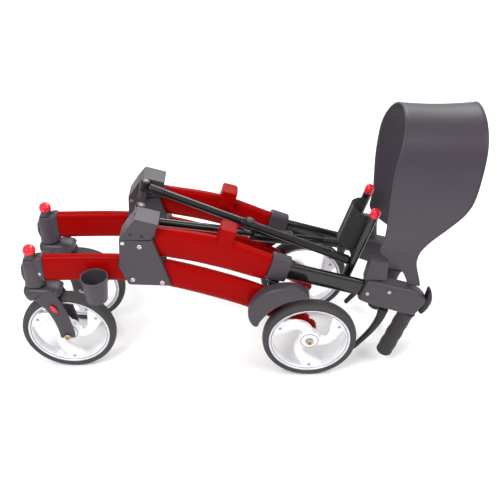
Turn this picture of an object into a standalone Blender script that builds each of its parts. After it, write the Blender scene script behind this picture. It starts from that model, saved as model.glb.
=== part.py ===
"""Rollator (four-wheel walking frame) in its folded transport position.

Frame: +X points to the handles, +Y to the walker's right side, +Z up, and Z = 0 is the floor.
Two side frames stand close together.  On each, an upright with the handle is folded down over the lower rail.
Places along an upright are (U, F): U runs from the reference point down the upright, and F is square to it
and up.
"""

import math

import bmesh
import bpy
from mathutils import Matrix, Vector

GAP = 0.0003
STEPS = 32

# side frames
SIDE_Y = 0.0762
RAIL_HALF_T = 0.012
RAIL_HEIGHT = 0.062
RAIL_FRONT = (-0.4030, 0.2685)
RAIL_BEND_1 = (-0.239, 0.2685)
RAIL_BEND_2 = (-0.135, 0.2515)
RAIL_BEND_3 = (0.018, 0.198)
RAIL_END_HEIGHT = 0.036

# wheels
WHEEL_R = 0.100
RAIL_BEND_4 = (0.098, WHEEL_R + 0.050)
RAIL_END = (0.140, WHEEL_R + 0.018)
TYRE_SECTION = 0.00625
TYRE_HALF_W = 0.015
RIM_HALF_W = 0.011
HUB_R = 0.016
AXLE_PROUD = 0.004
AXLE_END = 0.0025
PIN_PROUD = 0.0012
BORE_REACH = 0.05
BOSS_R = 0.019
STUD_R = 0.008
FENDER_R = WHEEL_R + 0.016
FENDER_SIDE_ROOM = 0.003
AXLE_R = 0.004
FRONT_AXLE_X = -0.365
REAR_AXLE_X = 0.149
REAR_WHEEL_OUT = 0.030
SPOKES = 3
RIM_HOLE_INNER = 0.32 * WHEEL_R
RIM_HOLE_OUTER = 0.77 * WHEEL_R
RIM_HOLE_HALF_ANGLE = 0.78

FENDER_STUD = (0.036, 0.186)

# casters
STEM_X = -0.417
STEM_R = 0.006
CROWN_Z = 0.2265
CROWN_THICK = 0.017
FORK_HALF_W = 0.0240
FORK_SHOULDER = 0.050
FORK_PLATE = 0.0045
FORK_WHEEL_GAP = 0.006
REFLECTOR_LENGTH = 0.022
REFLECTOR_WIDTH = 0.013
REFLECTOR_THICK = 0.0024
HOUSING_R = 0.021
HOUSING_BOTTOM = 0.2290
HOUSING_TOP = 0.2940
SADDLE_HALF_W = 0.0150
SADDLE_X = -0.3920
CAP_R = 0.0135
CAP_HEIGHT = 0.028

# folded upright
TILT = math.radians(16.7)
REF = (-0.193, 0.335)
PIVOT_U = -0.0335
UPRIGHT_HALF_H = 0.0335
UPRIGHT_END_HALF_H = 0.0280
UPRIGHT_START = 0.024
UPRIGHT_END = 0.262
UPRIGHT_RISE = 0.008
TUBE_HALF_H = 0.0195
TUBE_HALF_T = 0.0085
TUBE_F = 0.0115
TUBE_START = 0.130
LUG_U = 0.144
LUG_LENGTH = 0.033
LUG_TOP = 0.078
LUG_INBOARD = 0.026

# hinge bracket and foot
SLOT_SHAPE = [(-0.27, 0.311), (-0.172, 0.3010), (-0.10, 0.272), (-0.10, 0.40), (-0.27, 0.40)]
CHEEK = 0.009
SLOT_HALF = 0.0136
FOOT_HALF_T = 0.0130
PARTING_Z = 0.3520
PIN_R = 0.004
POST_R = 0.0095
POST_OFFSET = 0.0310
HEAD_F = 0.0620

# collar, handle block, grip, lever
COLLAR_LENGTH = 0.041
COLLAR_WALL = 0.0065
COLLAR_FLOOR = -0.0175
KNOB_R = 0.0135
KNOB_HEIGHT = 0.015
BLOCK_START = 0.463
BLOCK_END = 0.592
BLOCK_HALF_T = 0.0190
CLAMP_HALF_T = 0.0120
GRIP_U = 0.584
GRIP_R = 0.0175
GRIP_LENGTH = 0.128
LEVER_U = 0.526
LEVER_ROOT_HALF = 0.0125
LEVER_TIP_HALF = 0.0050
HOOK_HALF_W = 0.0110
LEVER_HALF_T = 0.0065
SHOE_R = 0.016

# cross brace and seat
BRACE_LOW_U = -0.015
BRACE_HIGH_U = 0.433
BAR_R = 0.0092
BAR_B_F = 0.0262
BAR_A_F = 0.0482
LOCK_TUBE_R = 0.0145
LOCK_TUBE_F = 0.0225
LOCK_TUBE_GAP = 0.0025
LOCK_TUBE_LENGTH = 0.090
WASHER_R = 0.0110
SEAT_TUBE_R = 0.0092
SEAT_TUBE_LOW = 0.0050
SEAT_TUBE_HIGH = 0.1640
SEAT_CAP_HEIGHT = 0.019
SLING_LOW = 0.064
SEAT_SLING_THICK = 0.0022

# back band
BAND_THICK = 0.0025
BAND_HALF_Y = 0.100
BAND_TOP = 0.584
BAND_FRONT_X = 0.286
BAND_REAR_X = 0.457
BAND_FOOT_F = 0.0447
BAND_FOOT_U = 0.558
BAND_FOOT_WIDTH = 0.025

# cane cup
CUP_X = -0.286
CUP_FLOOR_Z = 0.218
CUP_R = 0.028
CUP_WALL = 0.0022
CUP_DEPTH = 0.058

COLOURS = {
    "red_paint": ((0.43, 0.004, 0.003), 0.30, 0.1),
    "grey_plastic": ((0.115, 0.100, 0.118), 0.50, 0.0),
    "black_plastic": ((0.018, 0.015, 0.017), 0.45, 0.0),
    "black_tube": ((0.020, 0.017, 0.019), 0.30, 0.4),
    "tyre_rubber": ((0.075, 0.070, 0.073), 0.75, 0.0),
    "silver_rim": ((0.78, 0.78, 0.82), 0.35, 0.3),
    "steel": ((0.62, 0.60, 0.58), 0.30, 1.0),
    "red_plastic": ((0.65, 0.010, 0.020), 0.35, 0.0),
    "grip_rubber": ((0.035, 0.031, 0.036), 0.70, 0.0),
    "band_fabric": ((0.080, 0.062, 0.082), 0.55, 0.0),
    "seat_fabric": ((0.022, 0.020, 0.022), 0.85, 0.0),
}

SIDES = {"left": -1.0, "right": 1.0}

# the cup widens the left side only, so the whole part moves to centre its footprint on the origin
FOOTPRINT_SHIFT = 0.01015


def clear_scene():
    """Remove every object that a new file starts with."""
    for thing in list(bpy.data.objects):
        bpy.data.objects.remove(thing, do_unlink=True)


def new_collection(name):
    """Make a collection under the scene's own."""
    group = bpy.data.collections.new(name)
    bpy.context.scene.collection.children.link(group)
    return group


def material(name):
    """Return the named Principled material, made on first use."""
    found = bpy.data.materials.get(name)
    if found:
        return found
    colour, roughness, metallic = COLOURS[name]
    made = bpy.data.materials.new(name)
    made.use_nodes = True
    shader = made.node_tree.nodes["Principled BSDF"]
    shader.inputs["Base Color"].default_value = (*colour, 1.0)
    shader.inputs["Roughness"].default_value = roughness
    shader.inputs["Metallic"].default_value = metallic
    return made


def side_plane(y, angle=0.0, origin=(0.0, 0.0)):
    """Matrix whose X runs down the slope `angle`, whose Y is square to it and up, and whose Z is -Y."""
    c = math.cos(angle)
    s = math.sin(angle)
    turn = Matrix(((c, s, 0.0), (0.0, 0.0, -1.0), (-s, c, 0.0))).to_4x4()
    return Matrix.Translation((origin[0], y, origin[1])) @ turn


def fold_plane(y):
    """Plane of an upright: local X is U and local Y is F."""
    return side_plane(y, TILT, REF)


def fold_point(u, f, y=0.0):
    """World point at (U, F) of the folded upright."""
    return fold_plane(y) @ Vector((u, f, 0.0))


PIVOT = fold_point(PIVOT_U, 0.0)


def as_object(name, mesh, slot, group):
    """Put a mesh in an object with one material."""
    thing = bpy.data.objects.new(name, mesh)
    mesh.name = name
    mesh.materials.clear()
    mesh.materials.append(material(slot))
    group.objects.link(thing)
    return thing


def plate(name, outlines, half_thick, place, slot, group, round_off=0.0):
    """Flat piece: a filled 2-D curve of one outline and its holes, extruded both ways from its plane."""
    curve = bpy.data.curves.new(name, "CURVE")
    curve.dimensions = "2D"
    curve.fill_mode = "BOTH"
    curve.extrude = half_thick - round_off
    curve.bevel_depth = round_off
    curve.bevel_resolution = 1
    curve.offset = -round_off
    for points in outlines:
        spline = curve.splines.new("POLY")
        spline.points.add(len(points) - 1)
        for target, (x, y) in zip(spline.points, points):
            target.co = (x, y, 0.0, 1.0)
        spline.use_cyclic_u = True
    holder = bpy.data.objects.new(name + "_curve", curve)
    group.objects.link(holder)
    bpy.context.view_layer.update()
    graph = bpy.context.evaluated_depsgraph_get()
    mesh = bpy.data.meshes.new_from_object(holder.evaluated_get(graph))
    bpy.data.objects.remove(holder, do_unlink=True)
    work = bmesh.new()
    work.from_mesh(mesh)
    bmesh.ops.remove_doubles(work, verts=work.verts, dist=1e-5)
    bmesh.ops.transform(work, matrix=place, verts=work.verts)
    bmesh.ops.recalc_face_normals(work, faces=work.faces)
    work.to_mesh(mesh)
    work.free()
    return as_object(name, mesh, slot, group)


def rod(name, start, end, radius, slot, group, segments=24, end_radius=None):
    """Round bar or cone between two points."""
    a = Vector(start)
    b = Vector(end)
    mesh = bpy.data.meshes.new(name)
    work = bmesh.new()
    last = radius if end_radius is None else end_radius
    bmesh.ops.create_cone(work, cap_ends=True, segments=segments, radius1=radius, radius2=last,
                          depth=(b - a).length)
    turn = (b - a).to_track_quat("Z", "Y").to_matrix().to_4x4()
    bmesh.ops.transform(work, matrix=Matrix.Translation((a + b) / 2) @ turn, verts=work.verts)
    work.to_mesh(mesh)
    work.free()
    return as_object(name, mesh, slot, group)


def turned(name, profile, place, slot, group, steps=STEPS):
    """Turned piece: a closed (radius, height) profile spun about local Z by a Screw modifier."""
    mesh = bpy.data.meshes.new(name)
    work = bmesh.new()
    rim = [work.verts.new((r, 0.0, h)) for r, h in profile]
    for first, second in zip(rim, rim[1:] + rim[:1]):
        if first.co.x > 0 or second.co.x > 0:
            work.edges.new((first, second))
    work.to_mesh(mesh)
    work.free()
    thing = as_object(name, mesh, slot, group)
    spin = thing.modifiers.new("turn", "SCREW")
    spin.steps = steps
    spin.render_steps = steps
    spin.use_merge_vertices = True
    spin.merge_threshold = 1e-5
    spin.use_normal_calculate = True
    bpy.context.view_layer.update()
    graph = bpy.context.evaluated_depsgraph_get()
    solid = bpy.data.meshes.new_from_object(thing.evaluated_get(graph))
    bpy.data.objects.remove(thing, do_unlink=True)
    work = bmesh.new()
    work.from_mesh(solid)
    bmesh.ops.remove_doubles(work, verts=work.verts, dist=1e-6)
    bmesh.ops.transform(work, matrix=place, verts=work.verts)
    bmesh.ops.recalc_face_normals(work, faces=work.faces)
    work.to_mesh(solid)
    work.free()
    return as_object(name, solid, slot, group)


def combine(target, tool, operation):
    """Boolean `tool` into `target`, keeping the tool hidden in the cutters' collection."""
    step = target.modifiers.new(operation.lower(), "BOOLEAN")
    step.operation = operation
    step.solver = "EXACT"
    step.object = tool
    tool.hide_render = True
    tool.display_type = "WIRE"
    return target


def arc(centre, radius, start, end, count):
    """Points of an arc, angles in degrees."""
    for k in range(count + 1):
        t = math.radians(start + (end - start) * k / count)
        yield (centre[0] + radius * math.cos(t), centre[1] + radius * math.sin(t))


def smooth(points, per_span=5):
    """Catmull-Rom curve through a list of points."""
    ends = [points[0]] + list(points) + [points[-1]]
    out = []
    for a, b, c, d in zip(ends, ends[1:], ends[2:], ends[3:]):
        for k in range(per_span):
            t = k / per_span
            point = []
            for p, q, r, w in zip(a, b, c, d):
                bend = (2 * p - 5 * q + 4 * r - w) * t * t + (3 * q - p - 3 * r + w) * t ** 3
                point.append(0.5 * (2 * q + (r - p) * t + bend))
            out.append(tuple(point))
    out.append(tuple(points[-1]))
    return out


def ribbon(points, half_widths):
    """Closed outline of a strip with the given half width at each centreline point."""
    upper = []
    lower = []
    for k, (x, z) in enumerate(points):
        before = points[max(k - 1, 0)]
        after = points[min(k + 1, len(points) - 1)]
        run = Vector((after[0] - before[0], after[1] - before[1])).normalized()
        upper.append((x - run.y * half_widths[k], z + run.x * half_widths[k]))
        lower.append((x + run.y * half_widths[k], z - run.x * half_widths[k]))
    return upper + lower[::-1]


def rounded(corners, radius, steps=4):
    """Closed outline with every corner rounded by a quadratic blend of the given reach."""
    out = []
    for k, corner in enumerate(corners):
        here = Vector(corner)
        before = Vector(corners[k - 1])
        after = Vector(corners[(k + 1) % len(corners)])
        reach_in = min(radius, (before - here).length / 2.2)
        reach_out = min(radius, (after - here).length / 2.2)
        start = here + (before - here).normalized() * reach_in
        end = here + (after - here).normalized() * reach_out
        for j in range(steps + 1):
            t = j / steps
            out.append(tuple(start * (1 - t) ** 2 + here * 2 * t * (1 - t) + end * t * t))
    return out


def rail_outline(grow=0.0, drop=0.0):
    """Outline of the curved lower rail; `grow` widens it and `drop` lowers its under side."""
    spine = smooth([RAIL_FRONT, RAIL_BEND_1, RAIL_BEND_2, RAIL_BEND_3, RAIL_BEND_4, RAIL_END])
    count = len(spine)
    full = RAIL_HEIGHT / 2
    tip = RAIL_END_HEIGHT / 2
    widths = []
    for k in range(count):
        t = max(0.0, (k / (count - 1) - 0.72) / 0.28)
        widths.append(full + (tip - full) * t * t * (3 - 2 * t) + grow)
    shape = ribbon(spine, widths)
    return [(x, z - (drop if k >= count else 0.0)) for k, (x, z) in enumerate(shape)]


def rim_outlines(radius):
    """Rim disc with its axle bore and the curved openings between the spokes."""
    edge = list(arc((0, 0), radius, 0, 360 - 360 / STEPS, STEPS - 1))
    shapes = [edge, list(arc((0, 0), AXLE_R + GAP, 0, 330, 11))]
    for k in range(SPOKES):
        mid = 2 * math.pi * k / SPOKES
        outer = []
        inner = []
        for j in range(9):
            t = j / 8
            swing = mid - RIM_HOLE_HALF_ANGLE + 2 * RIM_HOLE_HALF_ANGLE * t
            lean = 0.30 * (1 - t)
            outer.append((RIM_HOLE_OUTER * math.cos(swing + lean), RIM_HOLE_OUTER * math.sin(swing + lean)))
            near = RIM_HOLE_INNER + 0.012 * t
            inner.append((near * math.cos(swing), near * math.sin(swing)))
        corners = [outer[0], outer[3], outer[5], outer[8], inner[8], inner[4], inner[0]]
        shapes.append(rounded(corners, 0.010, 2))
    return shapes


def tyre_profile():
    """Ring section of the tyre, standing on the rim's edge."""
    inner = WHEEL_R - 2 * TYRE_SECTION
    shape = [(inner, -RIM_HALF_W), (inner, RIM_HALF_W)]
    for r, h in arc((WHEEL_R - TYRE_SECTION, 0), 1.0, 90, -90, 6):
        angle = math.atan2(h, r - (WHEEL_R - TYRE_SECTION))
        shape.append((WHEEL_R - TYRE_SECTION + TYRE_SECTION * math.cos(angle), TYRE_HALF_W * math.sin(angle)))
    return shape


def cross_rod(name, place, near, far, radius, material, group):
    """Round bar across the part at (x, z), from y `near` to y `far`."""
    return rod(name, (place[0], near, place[1]), (place[0], far, place[1]), radius, material, group)


def build_wheel(side, end, centre, group):
    """Tyre, rim and axle of one wheel about the Y axis at `centre`."""
    place = side_plane(centre[1], 0.0, (centre[0], centre[2]))
    tyre = turned(f"{side}_{end}_tyre", tyre_profile(), place, "tyre_rubber", group)
    radius = WHEEL_R - 2 * TYRE_SECTION - GAP
    rim = plate(f"{side}_{end}_rim", rim_outlines(radius), RIM_HALF_W, place, "silver_rim", group, 0.002)
    return [tyre, rim]


def build_side(side, sign, group, cutters):
    """Pieces that stay with one lower side frame."""
    y = sign * SIDE_Y
    made = {}
    rail = plate(f"{side}_lower_rail", [rail_outline()], RAIL_HALF_T, side_plane(y), "red_paint", group,
                 0.007)
    heel = PARTING_Z - GAP - PIVOT.z
    heel_arc = list(arc((PIVOT.x, PIVOT.z), heel, 180, 90, 6))
    shield = [(PIVOT.x - heel - 0.0002, PIVOT.z - 0.0070), *heel_arc,
              *rounded([(-0.167, PARTING_Z - GAP), (-0.136, 0.236), (-0.222, 0.2400), (-0.2400, 0.290)],
                       0.005)]
    bracket = plate(f"{side}_hinge_bracket", [shield], SLOT_HALF + CHEEK, side_plane(y), "grey_plastic",
                    group, 0.002)
    channel = plate(f"{side}_rail_channel", [rail_outline(GAP, 0.05)], RAIL_HALF_T + GAP, side_plane(y),
                    "grey_plastic", cutters)
    combine(bracket, channel, "DIFFERENCE")
    slot = plate(f"{side}_foot_slot", [SLOT_SHAPE], SLOT_HALF, side_plane(y), "grey_plastic", cutters)
    combine(bracket, slot, "DIFFERENCE")
    reach = SLOT_HALF + CHEEK + PIN_PROUD
    bore = cross_rod(f"{side}_pin_bore", (PIVOT.x, PIVOT.z), y - BORE_REACH, y + BORE_REACH, PIN_R + GAP,
                     "grey_plastic", cutters)
    combine(bracket, bore, "DIFFERENCE")
    pin = cross_rod(f"{side}_hinge_pin", (PIVOT.x, PIVOT.z), y - reach, y + reach, PIN_R, "steel", group)
    out = SIDE_Y + REAR_WHEEL_OUT
    hub_place = (REAR_AXLE_X, WHEEL_R)
    axle = cross_rod(f"{side}_rear_axle", hub_place, sign * (SIDE_Y - RAIL_HALF_T - AXLE_PROUD),
                     sign * (out + RIM_HALF_W + AXLE_PROUD), AXLE_R, "steel", group)
    boss = cross_rod(f"{side}_axle_boss", hub_place, sign * (SIDE_Y - RAIL_HALF_T),
                     sign * (SIDE_Y + RAIL_HALF_T), BOSS_R, "red_paint", cutters)
    combine(rail, boss, "UNION")
    axle_bore = cross_rod(f"{side}_axle_bore", hub_place, y - BORE_REACH, y + BORE_REACH, AXLE_R + GAP,
                          "red_paint", cutters)
    combine(rail, axle_bore, "DIFFERENCE")
    guard = rounded([*arc(hub_place, FENDER_R, 156, 92, 8), (0.137, 0.236), (0.120, 0.2445),
                     (0.063, 0.2390), (0.027, 0.2150), (0.0180, 0.157)], 0.006, 2)
    inner_face = SIDE_Y + TUBE_HALF_T + COLLAR_WALL + 2 * GAP
    outer_face = out + TYRE_HALF_W + FENDER_SIDE_ROOM
    fender = plate(f"{side}_fender", [guard], (outer_face - inner_face) / 2,
                   side_plane(sign * (outer_face + inner_face) / 2), "grey_plastic", group, 0.004)
    stud = cross_rod(f"{side}_fender_stud", FENDER_STUD, sign * (SIDE_Y + RAIL_HALF_T + GAP),
                     sign * outer_face * 0.92, STUD_R, "grey_plastic", cutters)
    combine(fender, stud, "UNION")
    housing = turned(f"{side}_caster_housing", [
        (0.0, HOUSING_BOTTOM), (HOUSING_R - 0.002, HOUSING_BOTTOM), (HOUSING_R, HOUSING_BOTTOM + 0.004),
        (HOUSING_R, HOUSING_TOP - 0.014), (HOUSING_R - 0.004, HOUSING_TOP - 0.004), (0.0145, HOUSING_TOP),
        (0.0, HOUSING_TOP)], Matrix.Translation((STEM_X, y, 0.0)), "grey_plastic", group, 32)
    neck = rounded([(STEM_X, 0.236), (SADDLE_X - 0.002, 0.2345), (SADDLE_X, 0.262),
                    (SADDLE_X - 0.002, 0.3010), (STEM_X + 0.014, 0.2925), (STEM_X, 0.288)], 0.004)
    saddle = plate(f"{side}_housing_saddle", [neck], SADDLE_HALF_W, side_plane(y), "grey_plastic", cutters)
    combine(housing, saddle, "UNION")
    seat = plate(f"{side}_housing_seat", [rail_outline(GAP)], RAIL_HALF_T + GAP, side_plane(y),
                 "grey_plastic", cutters)
    combine(housing, seat, "DIFFERENCE")
    cap_place = Matrix.Translation((STEM_X, y, HOUSING_TOP + GAP))
    dome = [(0.0, 0.0), (CAP_R - 0.002, 0.0), (CAP_R, 0.006), (CAP_R, CAP_HEIGHT - 0.009),
            (CAP_R - 0.003, CAP_HEIGHT - 0.003), (CAP_R - 0.008, CAP_HEIGHT), (0.0, CAP_HEIGHT)]
    cap = turned(f"{side}_caster_cap", dome, cap_place, "red_plastic", group, 28)
    made["side"] = [rail, bracket, pin, axle, fender, housing]
    made["cap"] = [cap]
    made["rear_wheel"] = build_wheel(side, "rear", (REAR_AXLE_X, sign * out, WHEEL_R), group)
    return made


def build_caster(side, sign, group, cutters):
    """Swivelling fork with its wheel, trailing behind the stem."""
    y = sign * SIDE_Y
    under = CROWN_Z - CROWN_THICK
    shoulder = WHEEL_R + FORK_SHOULDER
    outline = rounded([(STEM_X - 0.028, shoulder + 0.047), (STEM_X - 0.023, CROWN_Z),
                       (STEM_X + 0.024, CROWN_Z), (STEM_X + 0.054, under), (STEM_X + 0.070, shoulder),
                       (FRONT_AXLE_X + 0.016, WHEEL_R - 0.010), (FRONT_AXLE_X - 0.012, WHEEL_R - 0.014),
                       (STEM_X + 0.018, shoulder), (STEM_X - 0.006, shoulder + 0.034)], 0.010)
    crown = plate(f"{side}_caster_fork", [outline], FORK_HALF_W, side_plane(y), "grey_plastic", group, 0.0015)
    room = list(arc((FRONT_AXLE_X, WHEEL_R), WHEEL_R + FORK_WHEEL_GAP, 0, 348, 29))
    wheel_gap = plate(f"{side}_fork_gap", [room], FORK_HALF_W - FORK_PLATE, side_plane(y), "grey_plastic",
                      cutters)
    combine(crown, wheel_gap, "DIFFERENCE")
    hub_place = (FRONT_AXLE_X, WHEEL_R)
    bore = cross_rod(f"{side}_front_bore", hub_place, y - BORE_REACH, y + BORE_REACH, AXLE_R + GAP,
                     "grey_plastic", cutters)
    combine(crown, bore, "DIFFERENCE")
    reach = FORK_HALF_W + AXLE_END
    axle = cross_rod(f"{side}_front_axle", hub_place, y - reach, y + reach, AXLE_R, "steel", group)
    face_y = sign * (SIDE_Y + FORK_HALF_W + REFLECTOR_THICK / 2 + GAP)
    oval = [(REFLECTOR_LENGTH / 2 * a, REFLECTOR_WIDTH / 2 * b) for a, b in arc((0, 0), 1.0, 0, 345, 23)]
    reflector = plate(f"{side}_reflector", [oval], REFLECTOR_THICK / 2,
                      side_plane(face_y, math.radians(62), (STEM_X + 0.034, 0.178)), "red_plastic", group)
    return [crown, axle, reflector], build_wheel(side, "front", (FRONT_AXLE_X, y, WHEEL_R), group)


def build_upright(side, sign, group, cutters):
    """Upright tube, its hinge foot, the collar and the knob of the height setting."""
    y = sign * SIDE_Y
    half = UPRIGHT_HALF_H
    small = UPRIGHT_END_HALF_H
    low = UPRIGHT_RISE
    outline = [(UPRIGHT_START, -half + low), (UPRIGHT_END, TUBE_F - small - 0.001),
               (UPRIGHT_END, TUBE_F + small + 0.006), (0.150, half + low + 0.012),
               (0.060, half + low + 0.002), (UPRIGHT_START, half + low)]
    tube = plate(f"{side}_upright", [outline], RAIL_HALF_T, fold_plane(y), "red_paint", group, 0.006)
    lug_in = SIDE_Y - LUG_INBOARD
    lug_out = SIDE_Y + RAIL_HALF_T
    lug = plate(f"{side}_seat_lug", [[(LUG_U - 0.003, 0.030), (LUG_U + LUG_LENGTH + 0.001, 0.030),
                (LUG_U + LUG_LENGTH, LUG_TOP), (LUG_U, LUG_TOP)]], (lug_out - lug_in) / 2,
                fold_plane(sign * (lug_in + lug_out) / 2), "red_paint", cutters)
    combine(tube, lug, "UNION")
    hollow_outline = [(TUBE_START - 0.02, TUBE_F - TUBE_HALF_H - GAP), (0.6, TUBE_F - TUBE_HALF_H - GAP),
                      (0.6, TUBE_F + TUBE_HALF_H + GAP), (TUBE_START - 0.02, TUBE_F + TUBE_HALF_H + GAP)]
    hollow = plate(f"{side}_hollow", [hollow_outline], TUBE_HALF_T + GAP, fold_plane(y), "red_paint", cutters)
    combine(tube, hollow, "DIFFERENCE")
    rel = side_plane(y).inverted() @ fold_plane(y)

    def at(u, f):
        p = rel @ Vector((u, f, 0.0))
        return (p.x, p.y)

    edge = UPRIGHT_START - GAP
    hub = [*arc((PIVOT.x, PIVOT.z), 0.0082, 120, 270, 6)]
    web = hub + [at(edge, -0.024), at(edge, 0.040), at(PIVOT_U, 0.020)]
    foot = plate(f"{side}_upright_foot", [web], FOOT_HALF_T, side_plane(y), "grey_plastic", group)
    head = [(PIVOT.x - 0.006, PARTING_Z + GAP), (at(edge, 0.0)[0] + 0.002, PARTING_Z + GAP), at(edge, HEAD_F),
            at(PIVOT_U + 0.012, HEAD_F), at(PIVOT_U + 0.003, 0.040)]
    head_block = plate(f"{side}_head_block", [head], SLOT_HALF + CHEEK, side_plane(y), "grey_plastic",
                       cutters)
    combine(foot, head_block, "UNION")
    post_y = sign * (SIDE_Y - POST_OFFSET)
    post = rod(f"{side}_brace_post", fold_point(BRACE_LOW_U, 0.018, post_y),
               fold_point(BRACE_LOW_U, HEAD_F - 0.0015, post_y), POST_R, "grey_plastic", cutters)
    combine(foot, post, "UNION")
    link_front = BRACE_LOW_U - POST_R
    link_rear = BRACE_LOW_U + POST_R / 2
    link = plate(f"{side}_post_link", [[at(link_front, 0.034), at(link_rear, 0.034), at(link_rear, 0.0595),
                 at(link_front, 0.0595)]], POST_OFFSET / 2, side_plane(sign * (SIDE_Y - POST_OFFSET / 2)),
                 "grey_plastic", cutters)
    combine(foot, link, "UNION")
    bore = cross_rod(f"{side}_foot_bore", (PIVOT.x, PIVOT.z), y - BORE_REACH, y + BORE_REACH, PIN_R + GAP,
                     "grey_plastic", cutters)
    combine(foot, bore, "DIFFERENCE")
    start = UPRIGHT_END + GAP
    sleeve = rounded([(start, COLLAR_FLOOR), (start, 0.0465), (start + COLLAR_LENGTH, 0.0410),
                      (start + COLLAR_LENGTH, COLLAR_FLOOR)], 0.004)
    collar = plate(f"{side}_collar", [sleeve], TUBE_HALF_T + COLLAR_WALL, fold_plane(y), "grey_plastic",
                   group, 0.002)
    combine(collar, hollow, "DIFFERENCE")
    knob_u = start + COLLAR_LENGTH / 2
    knob = rod(f"{side}_height_knob", fold_point(knob_u, COLLAR_FLOOR - GAP, y),
               fold_point(knob_u, COLLAR_FLOOR - KNOB_HEIGHT, y), KNOB_R, "black_plastic", group, 20,
               KNOB_R - 0.002)
    return [tube, foot, collar], [knob]


def build_handle(side, sign, group, cutters):
    """Telescoping tube with the handle block, grip, thumb hook, band clamp and brake lever."""
    y = sign * SIDE_Y
    under = TUBE_F - TUBE_HALF_H
    over = TUBE_F + TUBE_HALF_H
    flat = [(TUBE_START, under), (BLOCK_START - GAP, under), (BLOCK_START - GAP, over), (TUBE_START, over)]
    tube = plate(f"{side}_handle_tube", [flat], TUBE_HALF_T, fold_plane(y), "black_tube", group, 0.006)
    outline = rounded([(BLOCK_START, -0.0120), (BLOCK_START, 0.0420), (0.512, 0.0430),
                       (BLOCK_END - 0.018, 0.0440), (BLOCK_END, 0.0300), (BLOCK_END + 0.004, -0.0200),
                       (0.560, -0.0215), (0.505, -0.0180)], 0.006)
    block = plate(f"{side}_handle_block", [outline], BLOCK_HALF_T, fold_plane(y), "grey_plastic", group,
                  0.003)
    jaw = rounded([(0.455, 0.0435), (0.452, 0.090), (0.490, 0.094), (0.506, 0.0465)], 0.004)
    clamp = plate(f"{side}_band_clamp", [jaw], CLAMP_HALF_T, fold_plane(y), "grey_plastic", group, 0.002)
    grip = turned(f"{side}_grip", [
        (0.0, 0.0), (GRIP_R + 0.002, 0.0), (GRIP_R + 0.0025, 0.006), (GRIP_R - 0.001, 0.014), (GRIP_R, 0.050),
        (GRIP_R - 0.0015, 0.090), (GRIP_R, GRIP_LENGTH - 0.014), (GRIP_R - 0.003, GRIP_LENGTH - 0.004),
        (GRIP_R - 0.009, GRIP_LENGTH), (0.0, GRIP_LENGTH)],
        Matrix.Translation(fold_point(GRIP_U - 0.004, -0.0224, y))
        @ Matrix.Rotation(math.pi + TILT + 0.02, 4, "Y"),
        "grip_rubber", group, 28)
    curl = rounded([(BLOCK_END + 0.0045, -0.018), (BLOCK_END - 0.0005, 0.036), (0.600, 0.052), (0.617, 0.030),
                    (0.617, 0.000)], 0.008)
    hook = plate(f"{side}_thumb_hook", [curl], HOOK_HALF_W, fold_plane(y), "black_plastic", group, 0.003)
    spine = smooth([(LEVER_U + 0.004, -0.0300), (LEVER_U + 0.006, -0.060), (LEVER_U, -0.100),
                    (0.508, -0.155)], 5)
    taper = LEVER_ROOT_HALF - LEVER_TIP_HALF
    widths = [LEVER_ROOT_HALF - taper * (k / (len(spine) - 1)) ** 0.7 for k in range(len(spine))]
    lever = plate(f"{side}_brake_lever", [ribbon(spine, widths)], LEVER_HALF_T, fold_plane(y),
                  "black_plastic", group, 0.002)
    return [tube, block, clamp, grip, hook], [lever]


def build_brace(group, cutters):
    """The two cross bars, their centre washer, and the seat rails at their top ends."""
    inset = SIDE_Y - POST_OFFSET
    made = {}
    for name, f, sign in (("cross_bar_b", BAR_B_F, -1.0), ("cross_bar_a", BAR_A_F, 1.0)):
        low = fold_point(BRACE_LOW_U, f, sign * inset)
        high = fold_point(BRACE_HIGH_U, f, -sign * inset)
        run = (high - low).normalized()
        made[name] = rod(name, low + run * (POST_R + GAP), high - run * (SEAT_TUBE_R + GAP), BAR_R,
                         "black_tube", group)
    mid = (BRACE_LOW_U + BRACE_HIGH_U) / 2
    centre = fold_point(mid, LOCK_TUBE_F)
    run = (fold_point(BRACE_HIGH_U, LOCK_TUBE_F, inset) - centre).normalized()
    near = WASHER_R + LOCK_TUBE_GAP
    lock_tube = rod("lock_tube", centre + run * near, centre + run * (near + LOCK_TUBE_LENGTH), LOCK_TUBE_R,
                    "black_tube", cutters)
    combine(made["cross_bar_b"], lock_tube, "UNION")
    made["washer"] = rod("cross_pivot", fold_point(mid, BAR_B_F + BAR_R + GAP),
                         fold_point(mid, BAR_A_F - BAR_R - GAP), WASHER_R, "steel", group)
    for side, sign in SIDES.items():
        y = sign * inset
        levels = [fold_point(BRACE_HIGH_U, f, y) for f in
                  (SEAT_TUBE_LOW, SEAT_TUBE_HIGH, SEAT_TUBE_HIGH + GAP, SEAT_TUBE_HIGH + SEAT_CAP_HEIGHT)]
        made[f"{side}_rail"] = rod(f"{side}_seat_rail", levels[0], levels[1], SEAT_TUBE_R, "black_tube",
                                   group)
        made[f"{side}_cap"] = rod(f"{side}_seat_cap", levels[2], levels[3], SEAT_TUBE_R + 0.001,
                                  "red_plastic", group, 20, SEAT_TUBE_R - 0.002)
    return made


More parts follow.
